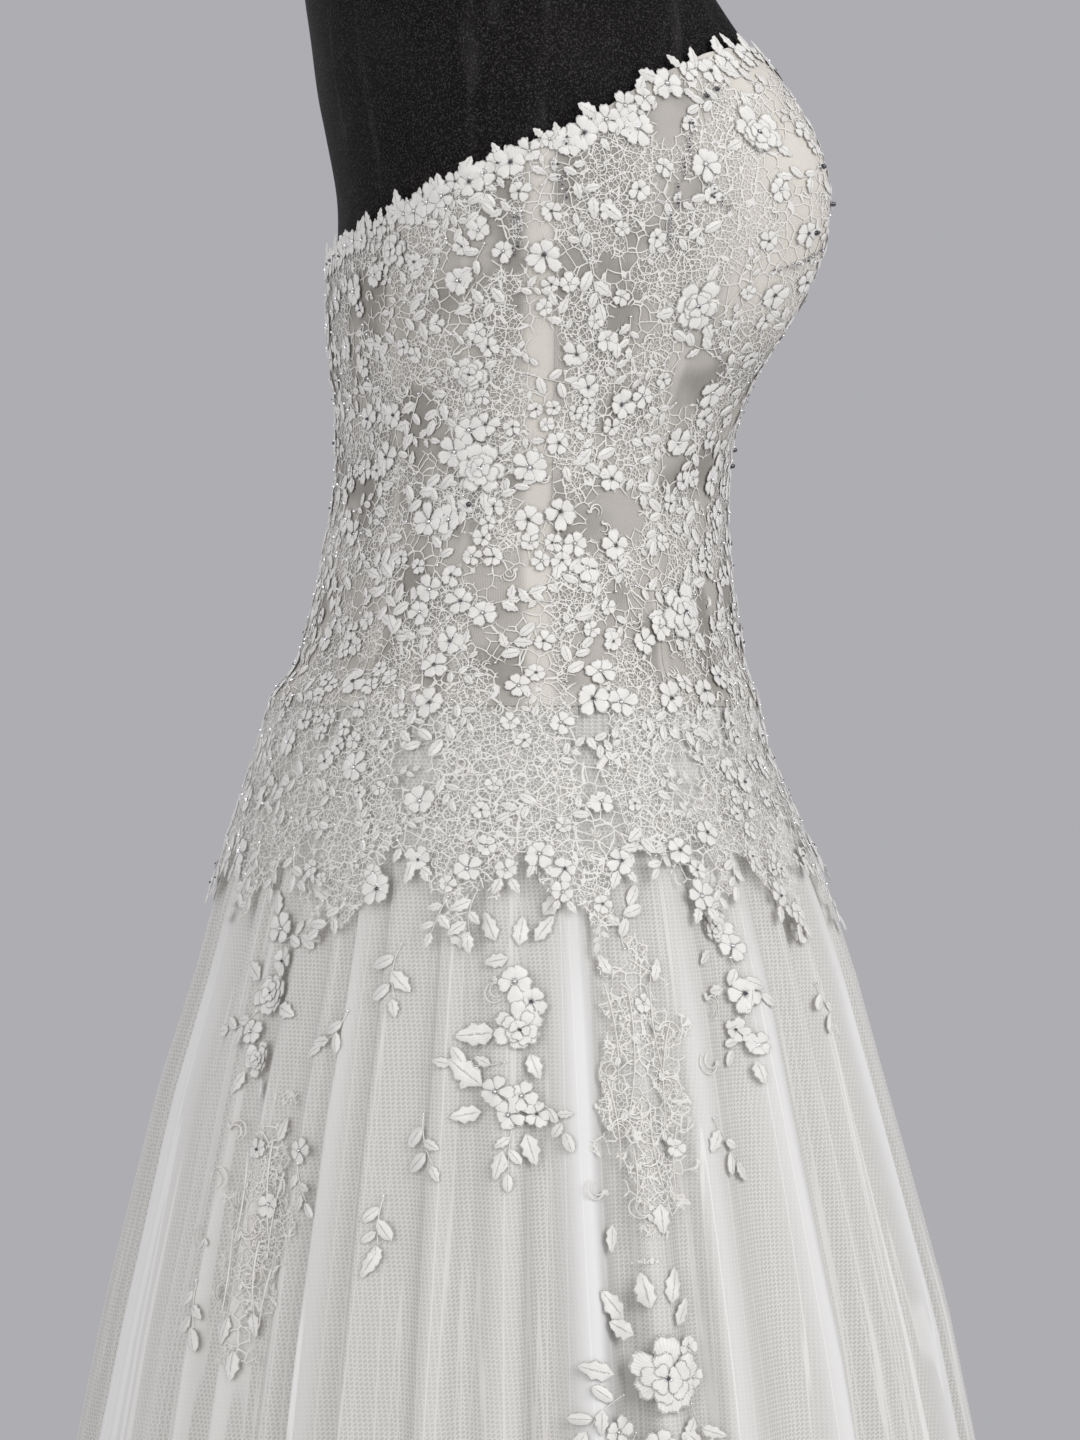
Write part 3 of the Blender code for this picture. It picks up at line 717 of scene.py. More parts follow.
base_angles = all_round(BODICE_COLUMNS)
base_share = np.linspace(0, 1, BODICE_ROWS)[:, None]
base_heights = between(neckline(base_angles), WAIST_SEAM - BASE_TUCK, base_share)
base_points = on_bodice(base_angles.repeat(BODICE_ROWS, 0), base_heights, BASE_LIFT)
base_radius = np.hypot(base_points[..., 0], base_points[..., 1])
around = np.abs(turned(base_angles))
channels = [
    share * bell(np.radians(around - angle) * base_radius / (width * MM), 6)
    for angle, width, share in zip(CHANNELS["angle"], CHANNELS["half_width"], CHANNEL_SHARE)
]
cup = 1 / (1 + np.exp(-(base_heights - CUP_BOTTOM - CUP_RISE * (around / CUP_SIDE) ** 2) / CUP_EDGE))
cup = cup / (1 + np.exp((around - CUP_SIDE) / 1.2))
top_band = bell((neckline(base_angles) - base_heights) / TOP_BAND, 4)
waist_tape = bell((base_heights - WAIST_SEAM) / WAIST_TAPE, 4)
backed = np.clip(np.max(channels, 0) * 0.85 + cup + 0.6 * top_band + 0.3 * waist_tape, 0, 1)
corset_finish = finish("corset_net", corset_net, Roughness=0.6, Sheen_Weight=0.1)
add_tube("bodice_base", base_points, corset_finish, BODICE_NODES, marks={"backed": backed})

# The lace's ground: a fine white web of uneven cells over the whole bodice, down over the hips to a ragged
# edge. It is dense in patches between the flowers, and bare in others, where the sheer base shows.
SHEET_LIFT = 0.6 * MM
SHEET_ROWS = 90
SHEET_COLUMNS = 300
SHEET_TOP_GAP = 1 * MM
SHEET_HEM_ROOM = 14 * MM
# The web's uneven cells: how many there are to a metre, and their threads.
COARSE_CELLS = 150.0
COARSE_THREAD = 0.36 * MM
FINE_CELLS = 430.0
FINE_THREAD = 0.20 * MM
CELL_BEND = (4.5 * MM, 4.5 * MM, 4.5 * MM)
CORD_COLOUR = (0.82, 0.80, 0.755)
WEB_HAZE = 0.14
WEB_UNEVEN = 60 * MM
RAGGED_EDGE = 7 * MM
RAGGED_STEP = 18 * MM
LACE_HEM = {
    "angle": (0, 8, 17, 26, 35, 45, 55, 66, 77, 88, 99, 110, 121, 133, 145, 157, 168, 180),
    "height": (884, 914, 880, 916, 874, 912, 880, 918, 872, 908, 878, 915, 872, 905, 880, 914, 884, 905),
}
MEAN_RADIUS = 145 * MM
SIDE_CHANNEL = 84
LACE_REACH = (0.86, 1.31)
RIGHT_SIDE = (-176.0, -4.0)
SEARCH_STEP = 2 * MM
LEAST_FACING = 0.12
BLOTCH_WAVES = 9
# Places seen in the photograph's close-up, as pixels across and down it, with a radius in half millimetres.
SPOT_SCALE = 0.5 * MM
WEB_PATCHES = (
    (611, 191, 44), (600, 245, 26), (505, 330, 30), (521, 399, 34), (729, 223, 44), (640, 440, 44),
    (435, 351, 30), (588, 596, 28), (640, 690, 36), (470, 690, 30), (520, 760, 46), (510, 820, 34),
    (370, 640, 26), (300, 800, 26), (740, 330, 26), (690, 560, 22),
)
BARE_PLACES = (
    (486, 230, 15), (512, 261, 15), (604, 261, 10), (623, 316, 12), (440, 442, 18), (692, 385, 26),
    (520, 300, 11), (513, 483, 14), (626, 516, 26), (563, 527, 13), (538, 579, 14), (482, 579, 13),
    (614, 592, 14), (480, 636, 13), (677, 667, 13), (584, 680, 12), (411, 579, 13), (465, 539, 11),
    (508, 188, 14), (735, 80, 16), (681, 191, 15), (534, 233, 12), (550, 340, 12), (400, 500, 13),
    (430, 190, 10), (668, 130, 12), (700, 470, 14), (380, 330, 12),
)


def lace_hem(angle):
    """Height of the lace's pointed lower edge on the hips."""
    return np.interp(np.abs(turned(angle)), LACE_HEM["angle"], np.array(LACE_HEM["height"]) * MM)


def in_photo(points):
    """Where points show in the photograph, in its pixels."""
    scale = -CAMERA_PLACE[0] / (points[..., 0] - CAMERA_PLACE[0]) / PIXEL
    across = PHOTO_MIDDLE[0] - (points[..., 1] - CAMERA_PLACE[1]) * scale
    down = PHOTO_MIDDLE[1] - (points[..., 2] - CAMERA_PLACE[2]) * scale
    return np.stack([across, down], -1)


def seen_spots(ground, pixels, bottom, top):
    """The angle and height on the wearer's right of each place in the photograph: of the points of a grid
    that face the camera, the one that shows nearest to it."""
    angles, heights = np.meshgrid(np.arange(*RIGHT_SIDE), np.arange(bottom, top, SEARCH_STEP))
    at = ground(angles, heights, np.zeros(angles.shape))
    out = ground(angles, heights, np.full(angles.shape, 1 * MM)) - at
    facing = np.sum(out * (CAMERA_PLACE - at), -1) > LEAST_FACING * MM
    shown = in_photo(at)[facing]
    pixels = np.asarray(pixels, float)[:, :2]
    nearest = np.argmin(np.sum((pixels[:, None] - shown[None]) ** 2, -1), 1)
    return np.stack([angles[facing][nearest], heights[facing][nearest]], -1)


def bodice_spots(pixels):
    """The angle and height on the bodice of each place in the photograph."""
    return seen_spots(on_bodice, pixels, *LACE_REACH)


def spots_and_radii(places):
    """The angle, the height and the radius in metres of each place in one of the tables."""
    return [(*spot, SPOT_SCALE * radius) for (*_, radius), spot in zip(places, bodice_spots(places))]


def nearness(angle, height, spots):
    """1 in the middle of the nearest of these spots, on either side of the body, and 0 outside them."""
    best = np.zeros(np.broadcast(angle, height).shape)
    side = -np.abs(turned(angle))
    for spot_angle, spot_height, radius in spots:
        away = np.hypot(np.radians(side - spot_angle) * MEAN_RADIUS, height - spot_height) / radius
        best = np.maximum(best, bell(away, 4))
    return best


def blotches(angle, height, seed, size):
    """Smooth uneven patches over the body, from about -1 to 1: a sum of seeded waves of this size."""
    draw = np.random.default_rng(seed)
    total = np.zeros(np.broadcast(angle, height).shape)
    round_it = np.radians(np.abs(turned(angle))) * MEAN_RADIUS
    for _ in range(BLOTCH_WAVES):
        heading = draw.uniform(0, 2 * np.pi)
        wave = draw.uniform(0.7, 1.5) * 2 * np.pi / size
        phase = draw.uniform(0, 2 * np.pi)
        total += np.sin(wave * (np.cos(heading) * round_it + np.sin(heading) * height) + phase)
    return total / 3


web_spots = spots_and_radii(WEB_PATCHES)
bare_spots = spots_and_radii(BARE_PLACES)


def web_share(angle, height):
    """How dense the web is: most in its patches, none in the bare places and past the lace's edges."""
    share = np.where(height < WAIST_SEAM, 0.68, 0.48) + 0.42 * blotches(angle, height, 31, WEB_UNEVEN)
    share = np.clip(np.maximum(share, nearness(angle, height, web_spots)), 0, 1)
    share = share * (1 - nearness(angle, height, bare_spots))
    in_channel = bell((np.abs(turned(angle)) - SIDE_CHANNEL) / 4, 4) * (height > WAIST_SEAM)
    share = share * (1 - 0.65 * in_channel)
    ragged = lace_hem(angle) + RAGGED_EDGE * blotches(angle, height, 8, RAGGED_STEP)
    return share * (height > ragged) * (height < neckline(angle) - SHEET_TOP_GAP)


def cell_edges(at, scale, thick):
    """1 on the edges of uneven cells of size 1/scale metres, drawn this thick."""
    edge = at.node("ShaderNodeTexVoronoi", {"feature": "DISTANCE_TO_EDGE"}, {"Vector": at, "Scale": scale})
    return 1 - (edge / scale).step(thick * 0.5, thick)


def lace_ground(place, cloth):
    """Two webs of cells whose threads wander, each only where the "web" mark is high enough for it."""
    share = mark(place, "web")
    wander = place.node("ShaderNodeTexNoise", {}, {"Vector": place, "Scale": 85.0}, 1)
    bent = wander.vector("MULTIPLY_ADD", CELL_BEND, place)
    coarse = cell_edges(bent, COARSE_CELLS, COARSE_THREAD) * share.step(0.1, 0.2)
    fine = cell_edges(bent, FINE_CELLS, FINE_THREAD) * share.step(0.35, 0.55)
    shade = place.noise(500.0).mix(CORD_COLOUR, dimmed(CORD_COLOUR, 0.86))
    haze = share.step(0.1, 0.7) * WEB_HAZE
    return {"Base_Color": shade, "Alpha": coarse.maths("MAXIMUM", fine).maths("MAXIMUM", haze)}


sheet_angles = all_round(SHEET_COLUMNS)
sheet_share = np.linspace(0, 1, SHEET_ROWS)[:, None]
sheet_top = neckline(sheet_angles) - SHEET_TOP_GAP
sheet_heights = between(sheet_top, lace_hem(sheet_angles) - SHEET_HEM_ROOM, sheet_share)
sheet_angles = sheet_angles.repeat(SHEET_ROWS, 0)
sheet_points = on_bodice(sheet_angles, sheet_heights, BASE_LIFT + SHEET_LIFT)
ground_finish = finish("lace_ground", lace_ground, Roughness=0.55, Sheen_Weight=0.2)
add_tube("bodice_lace_ground", sheet_points, ground_finish,
         marks={"web": web_share(sheet_angles, sheet_heights)})

# The embroidery: flowers, leaves, buds and stems in satin stitch, each with a grey cord along its edge and
# crystals in the middle. One petal, leaf, bud and crystal are made once, one unit long, and then laid on
# the cloth by rows of numbers: where, which way, how big.
STITCH_COLOUR = (0.91, 0.89, 0.845)
EDGE_COLOUR = (0.27, 0.26, 0.245)
CRYSTAL_DARK = (0.10, 0.10, 0.11)
CRYSTAL_CLEAR = (0.92, 0.92, 0.93)
WORK_LIFT = 1.5 * MM
CORD_STEPS = 8
BEADED_FLOWER = 6 * MM
SPRIG_BUDS = 4
STEM_CORD = 0.32 * MM
SCROLL_CORDS = (0.5 * MM, 0.42 * MM)
PETAL_OVERLAP = 0.18 * MM
STONE_SIZES = (1.0 * MM, 2.2 * MM)
STONE_LIFT = 0.6 * MM
ROSE_RINGS = (1.0 * MM, 1.9 * MM)
STITCH_RELIEF = 0.12 * MM
PART_COLUMNS = ("angle", "height", "right", "up", "turn", "width", "length", "thick", "lift", "work")
PETAL, LEAF, CORD, DARK, CLEAR = range(5)


def turned_over(quads):
    """The same quads, facing the other way."""
    return quads[:, [0, 3, 2, 1]]


def grid_part(x, y, z):
    """A part from its grid of points: across by -1 to 1, along by 0 to 1, facing up."""
    rows, columns = x.shape
    across, along = np.meshgrid(np.linspace(0, 1, columns), np.linspace(0, 1, rows))
    return {
        "points": np.stack([x, y, z], -1).reshape(-1, 3),
        "faces": turned_over(grid_faces(rows, columns)),
        "flat": np.stack([across, along], -1).reshape(-1, 2),
    }


def petal_part():
    """A fan from the flower's middle with rounded corners, a notched tip and a padded back."""
    across = np.linspace(-1, 1, 7)[None, :]
    along = np.array([0, 0.42, 0.78, 1.0])[:, None]
    tip = 1 - 0.40 * np.abs(across) ** 2.6 - 0.13 * along**2 * bell(across / 0.25)
    reach = 0.10 + 0.90 * along * tip
    spread = np.radians(38) * across * (0.9 + 0.1 * along)
    pad = np.sqrt(1.02 - across**2) * np.sin(np.pi * (0.12 + 0.8 * along)) + 0.5 * along
    return grid_part(reach * np.sin(spread), reach * np.cos(spread), pad)


def leaf_part():
    """A pointed oval with a notched edge, raised on both sides of its rib."""
    across = np.linspace(-1, 1, 5)[None, :]
    along = np.linspace(0, 1, 8)[:, None]
    width = 0.5 * np.sin(np.pi * along**0.85) ** 0.85 * (1 + 0.16 * np.cos(3.5 * 2 * np.pi * along))
    rib = 1 - 0.5 * bell(across / 0.25)
    pad = (1.05 - across**2) * rib * np.sin(np.pi * (0.08 + 0.84 * along))
    return grid_part(across * width, along + 0 * across, pad)


def bud_part():
    """A plump oval."""
    across = np.linspace(-1, 1, 5)[None, :]
    along = np.array([0, 0.2, 0.5, 0.8, 1.0])[:, None]
    width = 0.5 * np.sqrt(np.clip(1 - (2 * along - 1) ** 2, 0.004, 1))
    pad = (1.02 - across**2) * np.sin(np.pi * (0.1 + 0.8 * along))
    return grid_part(across * width, along + 0 * across, pad)


def crystal_part():
    """A cut stone: six sides that lean in to a flat table."""
    around = np.arange(6) * np.pi / 3
    ring = np.stack([0.5 * np.cos(around), 0.5 * np.sin(around), 0 * around], -1)
    corner = np.arange(6)
    following = (corner + 1) % 6
    sides = np.stack([corner, following, following + 6, corner + 6], -1)
    points = np.concatenate([ring, ring * 0.6 + (0, 0, 1)])
    table = [[6, 7, 8, 9], [6, 9, 10, 11]]
    return {"points": points, "faces": np.concatenate([sides, table]), "flat": points[:, :2] + 0.5}


PARTS = {"petal": petal_part(), "leaf": leaf_part(), "bud": bud_part(), "crystal": crystal_part()}


def cloth_scale(ground, angle, height):
    """Degrees for each metre round the cloth, and height for each metre up it, at a place."""
    lift = np.zeros(np.shape(angle))
    round_it = np.linalg.norm(ground(angle + 1, height, lift) - ground(angle - 1, height, lift), axis=-1) / 2
    up = np.linalg.norm(ground(angle, height + 2 * MM, lift) - ground(angle, height - 2 * MM, lift), axis=-1)
    return 1 / np.maximum(round_it, 1e-4), 4 * MM / np.maximum(up, 4 * MM)


def by_column(rows):
    """Rows of numbers as named columns."""
    return dict(zip(PART_COLUMNS, np.array(rows, float).T[..., None]))


def laid_parts(part, rows, ground):
    """Every row's copy of a part on the cloth: scaled, turned from straight up, and moved from its spot."""
    at = by_column(rows)
    x = part["points"][None, :, 0] * at["width"]
    y = part["points"][None, :, 1] * at["length"]
    sine, cosine = np.sin(at["turn"]), np.cos(at["turn"])
    degrees, level = cloth_scale(ground, at["angle"], at["height"])
    angle = at["angle"] + (at["right"] + x * cosine - y * sine) * degrees
    height = at["height"] + (at["up"] + x * sine + y * cosine) * level
    return ground(angle, height, WORK_LIFT + at["lift"] + part["points"][None, :, 2] * at["thick"])


def laid_cords(rows, ground):
    """Every row's cord: a path of even steps that bends by "width" radians over its "length", with a
    three-sided section."""
    at = by_column(rows)
    share = np.arange(CORD_STEPS + 1)[None, :] / CORD_STEPS
    heading = at["turn"] + at["width"] * share
    step = at["length"] / CORD_STEPS
    x = at["right"] + np.cumsum(-np.sin(heading) * step, 1) + np.sin(heading[:, :1]) * step
    y = at["up"] + np.cumsum(np.cos(heading) * step, 1) - np.cos(heading[:, :1]) * step
    degrees, level = cloth_scale(ground, at["angle"], at["height"])
    angle = at["angle"] + x * degrees
    height = at["height"] + y * level
    lift = WORK_LIFT + at["lift"] + 0 * x
    return cord_rings(ground, angle, height, lift, at["thick"] * (1 - 0.5 * share**2))


def cord_rings(ground, angle, height, lift, thick):
    """Three corners round each point of some paths on the cloth: left, outer, right, and left again."""
    middle = ground(angle, height, lift)
    out = ground(angle, height, lift + 1 * MM) - middle
    out /= np.linalg.norm(out, axis=-1, keepdims=True)
    along = np.gradient(middle, axis=1)
    along /= np.maximum(np.linalg.norm(along, axis=-1, keepdims=True), 1e-9)
    side = np.cross(along, out) * thick[..., None]
    ring = np.stack([middle - side, middle + out * thick[..., None] * 1.5, middle + side, middle - side], 2)
    return ring.reshape(len(ring), -1, 3)


def cord_faces(steps):
    """Quads of one cord: its steps by its three sides, facing out."""
    return turned_over(grid_faces(steps + 1, 4))


def embroidery(place, cloth):
    """Petals and leaves: stitches across them with painted sheen, and a cord at their edge. The "work" mark
    tells the parts.
    """
    work = mark(place, "work")
    leaf = work.step(0.4, 0.6)
    cord = work.step(1.4, 1.6)
    crystal = work.step(2.4, 2.6)
    clear = work.step(3.4, 3.6)
    across = (cloth.across(0) * 2.0 - 1.0).maths("ABSOLUTE")
    along = cloth.across(1)
    edge = across.maths("MAXIMUM", along * (1 - leaf))
    rim = edge.step(0.82, 0.92) * (1 - cord)
    rib = (1 - across.step(0.05, 0.14)) * leaf * (1 - cord)
    heart = (1 - along.step(0.04, 0.14)) * (1 - leaf)
    stitches = (cloth.across(0) * 60.0 + place.noise(250.0) * 4.0).maths("SINE")
    lines = rim.maths("MAXIMUM", rib * 0.8).maths("MAXIMUM", heart) * place.noise(1300.0).step(0.3, 0.55)
    # Painted sheen: stripes across the stitches, lighter and darker as light along satin threads, over
    # uneven tone.
    lustre = stitches * 0.25 + place.noise(160.0) * 1.1 - 0.05
    satin_white = lustre.mix(dimmed(STITCH_COLOUR, 0.74), STITCH_COLOUR)
    shade = (lines * 0.8).mix(satin_white, EDGE_COLOUR)
    shade = crystal.mix(shade, clear.mix(CRYSTAL_DARK, CRYSTAL_CLEAR))
    relief = stitches * 0.25 * (1 - cord) + rim * 1.5
    return {
        "Base_Color": shade,
        "Roughness": 0.55 - crystal * 0.43,
        "Metallic": crystal * 0.9,
        "Normal": relief.bump(STITCH_RELIEF, 0.7),
    }


embroidery_finish = finish("lace_embroidery", embroidery, Sheen_Weight=0.15)


class Sewing:
    """The rows of one lace piece, by part. Motifs add their parts to it, and sewn() makes the mesh."""

    def __init__(self, seed):
        self.draw = np.random.default_rng(seed)
        self.rows = {name: [] for name in (*PARTS, "cord")}

    def add(self, part, spot, right, up, turn, width, length, thick, lift, work):
        """One part, moved right and up from its spot."""
        self.rows[part].append((*spot, right, up, turn, width, length, thick, lift, work))

    def crystal(self, spot, right, up, size, lift, work):
        """One cut stone, turned at random."""
        self.add("crystal", spot, right, up, self.draw.uniform(0, 1), size, size, size * 0.6, lift, work)

    def flower(self, spot, size, right=0.0, up=0.0, lift=0.0, petals=5):
        """A ring of petals, each a little uneven, round a few crystals."""
        first, tilt = self.draw.uniform(0, 2 * np.pi, 2)
        for number in range(petals):
            turn = first + (number + self.draw.uniform(-0.13, 0.13)) * 2 * np.pi / petals
            long = size * (self.draw.uniform(0.84, 1.08) + 0.14 * np.cos(turn - tilt))
            width = size * (5 / petals) * self.draw.uniform(0.86, 1.08)
            over = lift + PETAL_OVERLAP * (number % 2)
            self.add("petal", spot, right, up, turn, width, long, 0.06 * size, over, PETAL)
        stone = min(max(0.2 * size, STONE_SIZES[0]), STONE_SIZES[1])
        self.crystal(spot, right, up, stone, lift + STONE_LIFT, DARK if self.draw.random() < 0.5 else CLEAR)
        for turn in first + np.array([0.3, 2.4, 4.5] if size > BEADED_FLOWER else []):
            bead = (right + np.cos(turn) * stone, up + np.sin(turn) * stone)
            self.crystal(spot, *bead, 0.5 * stone, lift + STONE_LIFT, CLEAR)

    def rose(self, spot, size, right=0.0, up=0.0):
        """Three rings of petals, each smaller and higher than the last."""
        self.flower(spot, size, right, up, petals=6)
        self.flower(spot, 0.7 * size, right + 0.06 * size, up - 0.04 * size, ROSE_RINGS[0], petals=5)
        self.flower(spot, 0.42 * size, right, up, ROSE_RINGS[1], petals=4)

    def leaf(self, spot, size, turn, right=0.0, up=0.0, lift=0.0):
        """One leaf, which grows from its place the way it is turned."""
        width = size * self.draw.uniform(0.45, 0.6)
        self.add("leaf", spot, right, up, turn, width, size, 0.09 * size, lift, LEAF)

    def sprig(self, spot, length, turn, right=0.0, up=0.0):
        """A bending stem with buds and small leaves on both sides of it and one at its end."""
        bend = self.draw.uniform(-1.2, 1.2)
        self.add("cord", spot, right, up, turn, bend, length, STEM_CORD, -0.3 * MM, CORD)
        self.crystal(spot, right, up, 1.5 * MM, 0.2 * MM, CLEAR)
        at_right, at_up = right, up
        for number in range(SPRIG_BUDS):
            heading = turn + bend * (number + 0.5) / SPRIG_BUDS
            at_right -= np.sin(heading) * length / SPRIG_BUDS
            at_up += np.cos(heading) * length / SPRIG_BUDS
            side = 1 if number % 2 else -1
            last = number == SPRIG_BUDS - 1
            lean = heading + (0 if last else side * self.draw.uniform(0.6, 1.1))
            size = length * self.draw.uniform(0.36, 0.55)
            part = "leaf" if self.draw.random() < 0.5 else "bud"
            self.add(part, spot, at_right, at_up, lean, size * 0.55, size, 0.09 * size, 0.0, LEAF)

    def scroll(self, spot, size, turn, right=0.0, up=0.0, hand=1):
        """Two cords side by side that curl in, with a bud in the curl."""
        thick, thin = SCROLL_CORDS
        self.add("cord", spot, right, up, turn, hand * 4.2, 2.6 * size, thick, -0.1 * MM, CORD)
        self.add("cord", spot, right, up, turn + hand * 0.2, hand * 4.4, 1.9 * size, thin, -0.1 * MM, CORD)
        self.add("bud", spot, right, up, turn - hand * 0.5, 0.35 * size, 0.5 * size, 0.06 * size, 0.0, LEAF)

    def mirrored(self):
        """The same rows on the body's other side: the angles, the way to the right and the turns change
        sign, and so does the width of a cord, which is its bend."""
        other = Sewing(0)
        flip = np.array([-1, 1, -1, 1, -1, 1, 1, 1, 1, 1.0])
        for name, rows in self.rows.items():
            flip[PART_COLUMNS.index("width")] = -1 if name == "cord" else 1
            other.rows[name] = [tuple(np.array(row) * flip) for row in rows]
        return other

    def sewn(self, name, ground, slot, replaced=()):
        """One mesh from all the rows."""
        points, faces, flat, work = [], [], [], []
        count = 0
        for part_name, rows in self.rows.items():
            if not rows:
                continue
            if part_name == "cord":
                laid = laid_cords(rows, ground)
                quads = cord_faces(CORD_STEPS)
                places = np.full((laid.shape[1], 2), 0.5)
            else:
                laid = laid_parts(PARTS[part_name], rows, ground)
                quads = PARTS[part_name]["faces"]
                places = PARTS[part_name]["flat"]
            shape = laid.shape[:2]
            starts = count + np.arange(shape[0])[:, None, None] * shape[1]
            points.append(laid.reshape(-1, 3))
            faces.append((starts + quads[None]).reshape(-1, 4))
            flat.append(np.tile(places[quads.ravel()], (shape[0], 1)))
            work.append(np.repeat([row[-1] for row in rows], shape[1]))
            count += shape[0] * shape[1]
        return add_mesh(name, np.concatenate(points), [np.concatenate(faces)], np.concatenate(flat),
                        embroidery_finish, replaced, marks={"work": np.concatenate(work)})


# The lace on the bodice. The main flowers are where the photograph shows them, as pixels across and down
# it with a radius in millimetres, and smaller ones and sprigs fill the room between them.
MAIN_FLOWERS = (
    (544, 257, 10), (706, 163, 10), (634, 129, 9.5), (575, 355, 7.5), (585, 386, 7), (604, 340, 7),
    (567, 143, 8), (529, 469, 10), (430, 520, 10), (625, 125, 8), (430, 590, 8), (460, 600, 8),
    (482, 612, 8), (450, 640, 8), (355, 765, 10), (380, 890, 10), (662, 167, 5.5), (340, 300, 8),
    (370, 420, 8), (350, 520, 7), (330, 640, 8), (290, 740, 9), (250, 800, 9), (620, 700, 9),
    (700, 690, 9), (740, 640, 8), (480, 230, 7), (460, 280, 8), (690, 480, 6), (660, 545, 5),
    (610, 640, 6), (545, 640, 6), (780, 190, 7), (800, 130, 6), (770, 240, 6), (700, 420, 7),
    (740, 780, 8), (420, 800, 9), (470, 870, 8), (600, 800, 7), (680, 850, 8), (560, 720, 7),
)
MAIN_ROSES = ((693, 306, 15), (480, 468, 14), (680, 610, 17), (756, 131, 14), (470, 375, 10), (395, 250, 11))
# Dark stones, and stems set with small beads: pixels across each stem's corners, and down.
DARK_STONES = (
    (818, 167), (812, 232), (828, 205), (735, 450), (735, 468), (757, 131), (716, 88), (706, 94), (470, 505),
)
BEADED_STEMS = (
    ((692, 684, 672, 667), (121, 165, 213, 245)), ((707, 718, 727), (184, 198, 212)),
    ((552, 560, 566), (160, 178, 196)), ((770, 800, 820), (272, 262, 250)),
    ((515, 520, 512), (215, 235, 255)), ((700, 712, 722), (300, 330, 372)),
)
FILL_TRIES = 5200
FILL_KINDS = {"flower": 0.27, "cluster": 0.08, "sprig": 0.53, "scroll": 0.12}
FILL_RADIUS = {"flower": (4.5, 9.5), "cluster": (9.0, 12.0), "sprig": (6.0, 11.0), "scroll": (4.5, 7.5)}
NECK_STEP = 10.5 * MM
HEM_STEP = 11 * MM
HIP_RADIUS = 175 * MM
FIRST_ANGLE = -2.0
LAST_ANGLE = -178
FILL_ANGLES = (-179, -1)
FILL_HEIGHTS = (0.885, 1.305)
BIG_STONE = 3.0 * MM
STEM_BEAD = 1.5 * MM
STEM_BEADS = 14


def fill_between(sewing, taken):
    """Throws motifs at the bodice, and keeps each one that lands clear of those that are there, the bare
    places and the middles of the web patches."""
    draw = sewing.draw
    kinds = list(FILL_KINDS)
    for _ in range(FILL_TRIES):
        kind = draw.choice(kinds, p=list(FILL_KINDS.values()))
        radius = draw.uniform(*FILL_RADIUS[kind]) * MM
        angle = draw.uniform(*FILL_ANGLES)
        height = draw.uniform(*FILL_HEIGHTS)
        room = np.array(taken)
        away = np.hypot(np.radians(room[:, 0] - angle) * MEAN_RADIUS, room[:, 1] - height)
        inside = lace_hem(angle) + radius * 0.5 < height < neckline(angle) - radius * 0.9
        if not inside or np.any(away < 0.8 * (room[:, 2] + radius)):
            continue
        if nearness(angle, height, bare_spots) > 0.25:
            continue
        if abs(angle + SIDE_CHANNEL) < 5 and height > WAIST_SEAM and draw.random() < 0.6:
            continue
        if nearness(angle, height, web_spots) > 0.75 and draw.random() < 0.8:
            continue
        taken.append((angle, height, radius))
        spot = (angle, height)
        turn = draw.uniform(0, 2 * np.pi)
        if kind == "flower":
            sewing.flower(spot, radius)
        elif kind == "cluster":
            for number in range(3):
                lean = turn + number * 2 * np.pi / 3
                sewing.flower(spot, 0.5 * radius, 0.55 * radius * np.cos(lean), 0.55 * radius * np.sin(lean))
        elif kind == "sprig":
            start = (radius * np.sin(turn), -radius * np.cos(turn))
            sewing.sprig(spot, 2.1 * radius, turn, *start)
        else:
            sewing.scroll(spot, 0.8 * radius, turn, hand=draw.choice([-1, 1]))


lace = Sewing(12)
taken = []
for (*_, size), spot in zip(MAIN_ROSES, bodice_spots(MAIN_ROSES)):
    lace.rose(spot, size * MM)
    for lean in lace.draw.uniform(0, 2 * np.pi) + np.array([0, 2.1, 4.2]):
        start = (-size * 0.8 * MM * np.sin(lean), size * 0.8 * MM * np.cos(lean))
        lace.leaf(spot, size * 0.75 * MM, lean, *start, lift=-0.2 * MM)
    taken.append((*spot, size * 1.15 * MM))
for (*_, size), spot in zip(MAIN_FLOWERS, bodice_spots(MAIN_FLOWERS)):
    lace.flower(spot, size * MM, petals=5 + (size > 9))
    taken.append((*spot, size * MM))

neck_angle = FIRST_ANGLE
while neck_angle > LAST_ANGLE:
    size = lace.draw.uniform(5.0, 9.5) * MM
    spot = (neck_angle, neckline(neck_angle) - lace.draw.uniform(0.5, 1.0) * size)
    lace.flower(spot, size)
    for at_right in (-0.5, 0.9):
        lean = lace.draw.uniform(-0.5, 1.3)
        long = lace.draw.uniform(5, 13) * MM
        if lace.draw.random() < 0.7:
            lace.leaf(spot, long, lean, at_right * size, 0.2 * size)
        lace.leaf(spot, 0.8 * size, np.pi + lean, at_right * size, -0.2 * size)
    taken.append((*spot, size))
    neck_angle -= np.degrees(NECK_STEP / MEAN_RADIUS) * lace.draw.uniform(0.85, 1.15)

hem_angle = FIRST_ANGLE
while hem_angle > LAST_ANGLE:
    size = lace.draw.uniform(4.5, 9.0) * MM
    spot = (hem_angle, lace_hem(hem_angle) + lace.draw.uniform(-0.2, 1.3) * size)
    if lace.draw.random() < 0.55:
        lace.flower(spot, size)
        for lean in (2.7, 3.6):
            start = (-0.7 * size * np.sin(lean), 0.7 * size * np.cos(lean))
            lace.leaf(spot, size * lace.draw.uniform(0.9, 1.5), lean, *start)
    else:
        long = lace.draw.uniform(1.8, 3.0) * size
        lace.sprig(spot, long, lace.draw.uniform(2.6, 3.7), 0, 0.6 * size)
    taken.append((*spot, size))
    hem_angle -= np.degrees(HEM_STEP / HIP_RADIUS) * lace.draw.uniform(0.9, 1.7)

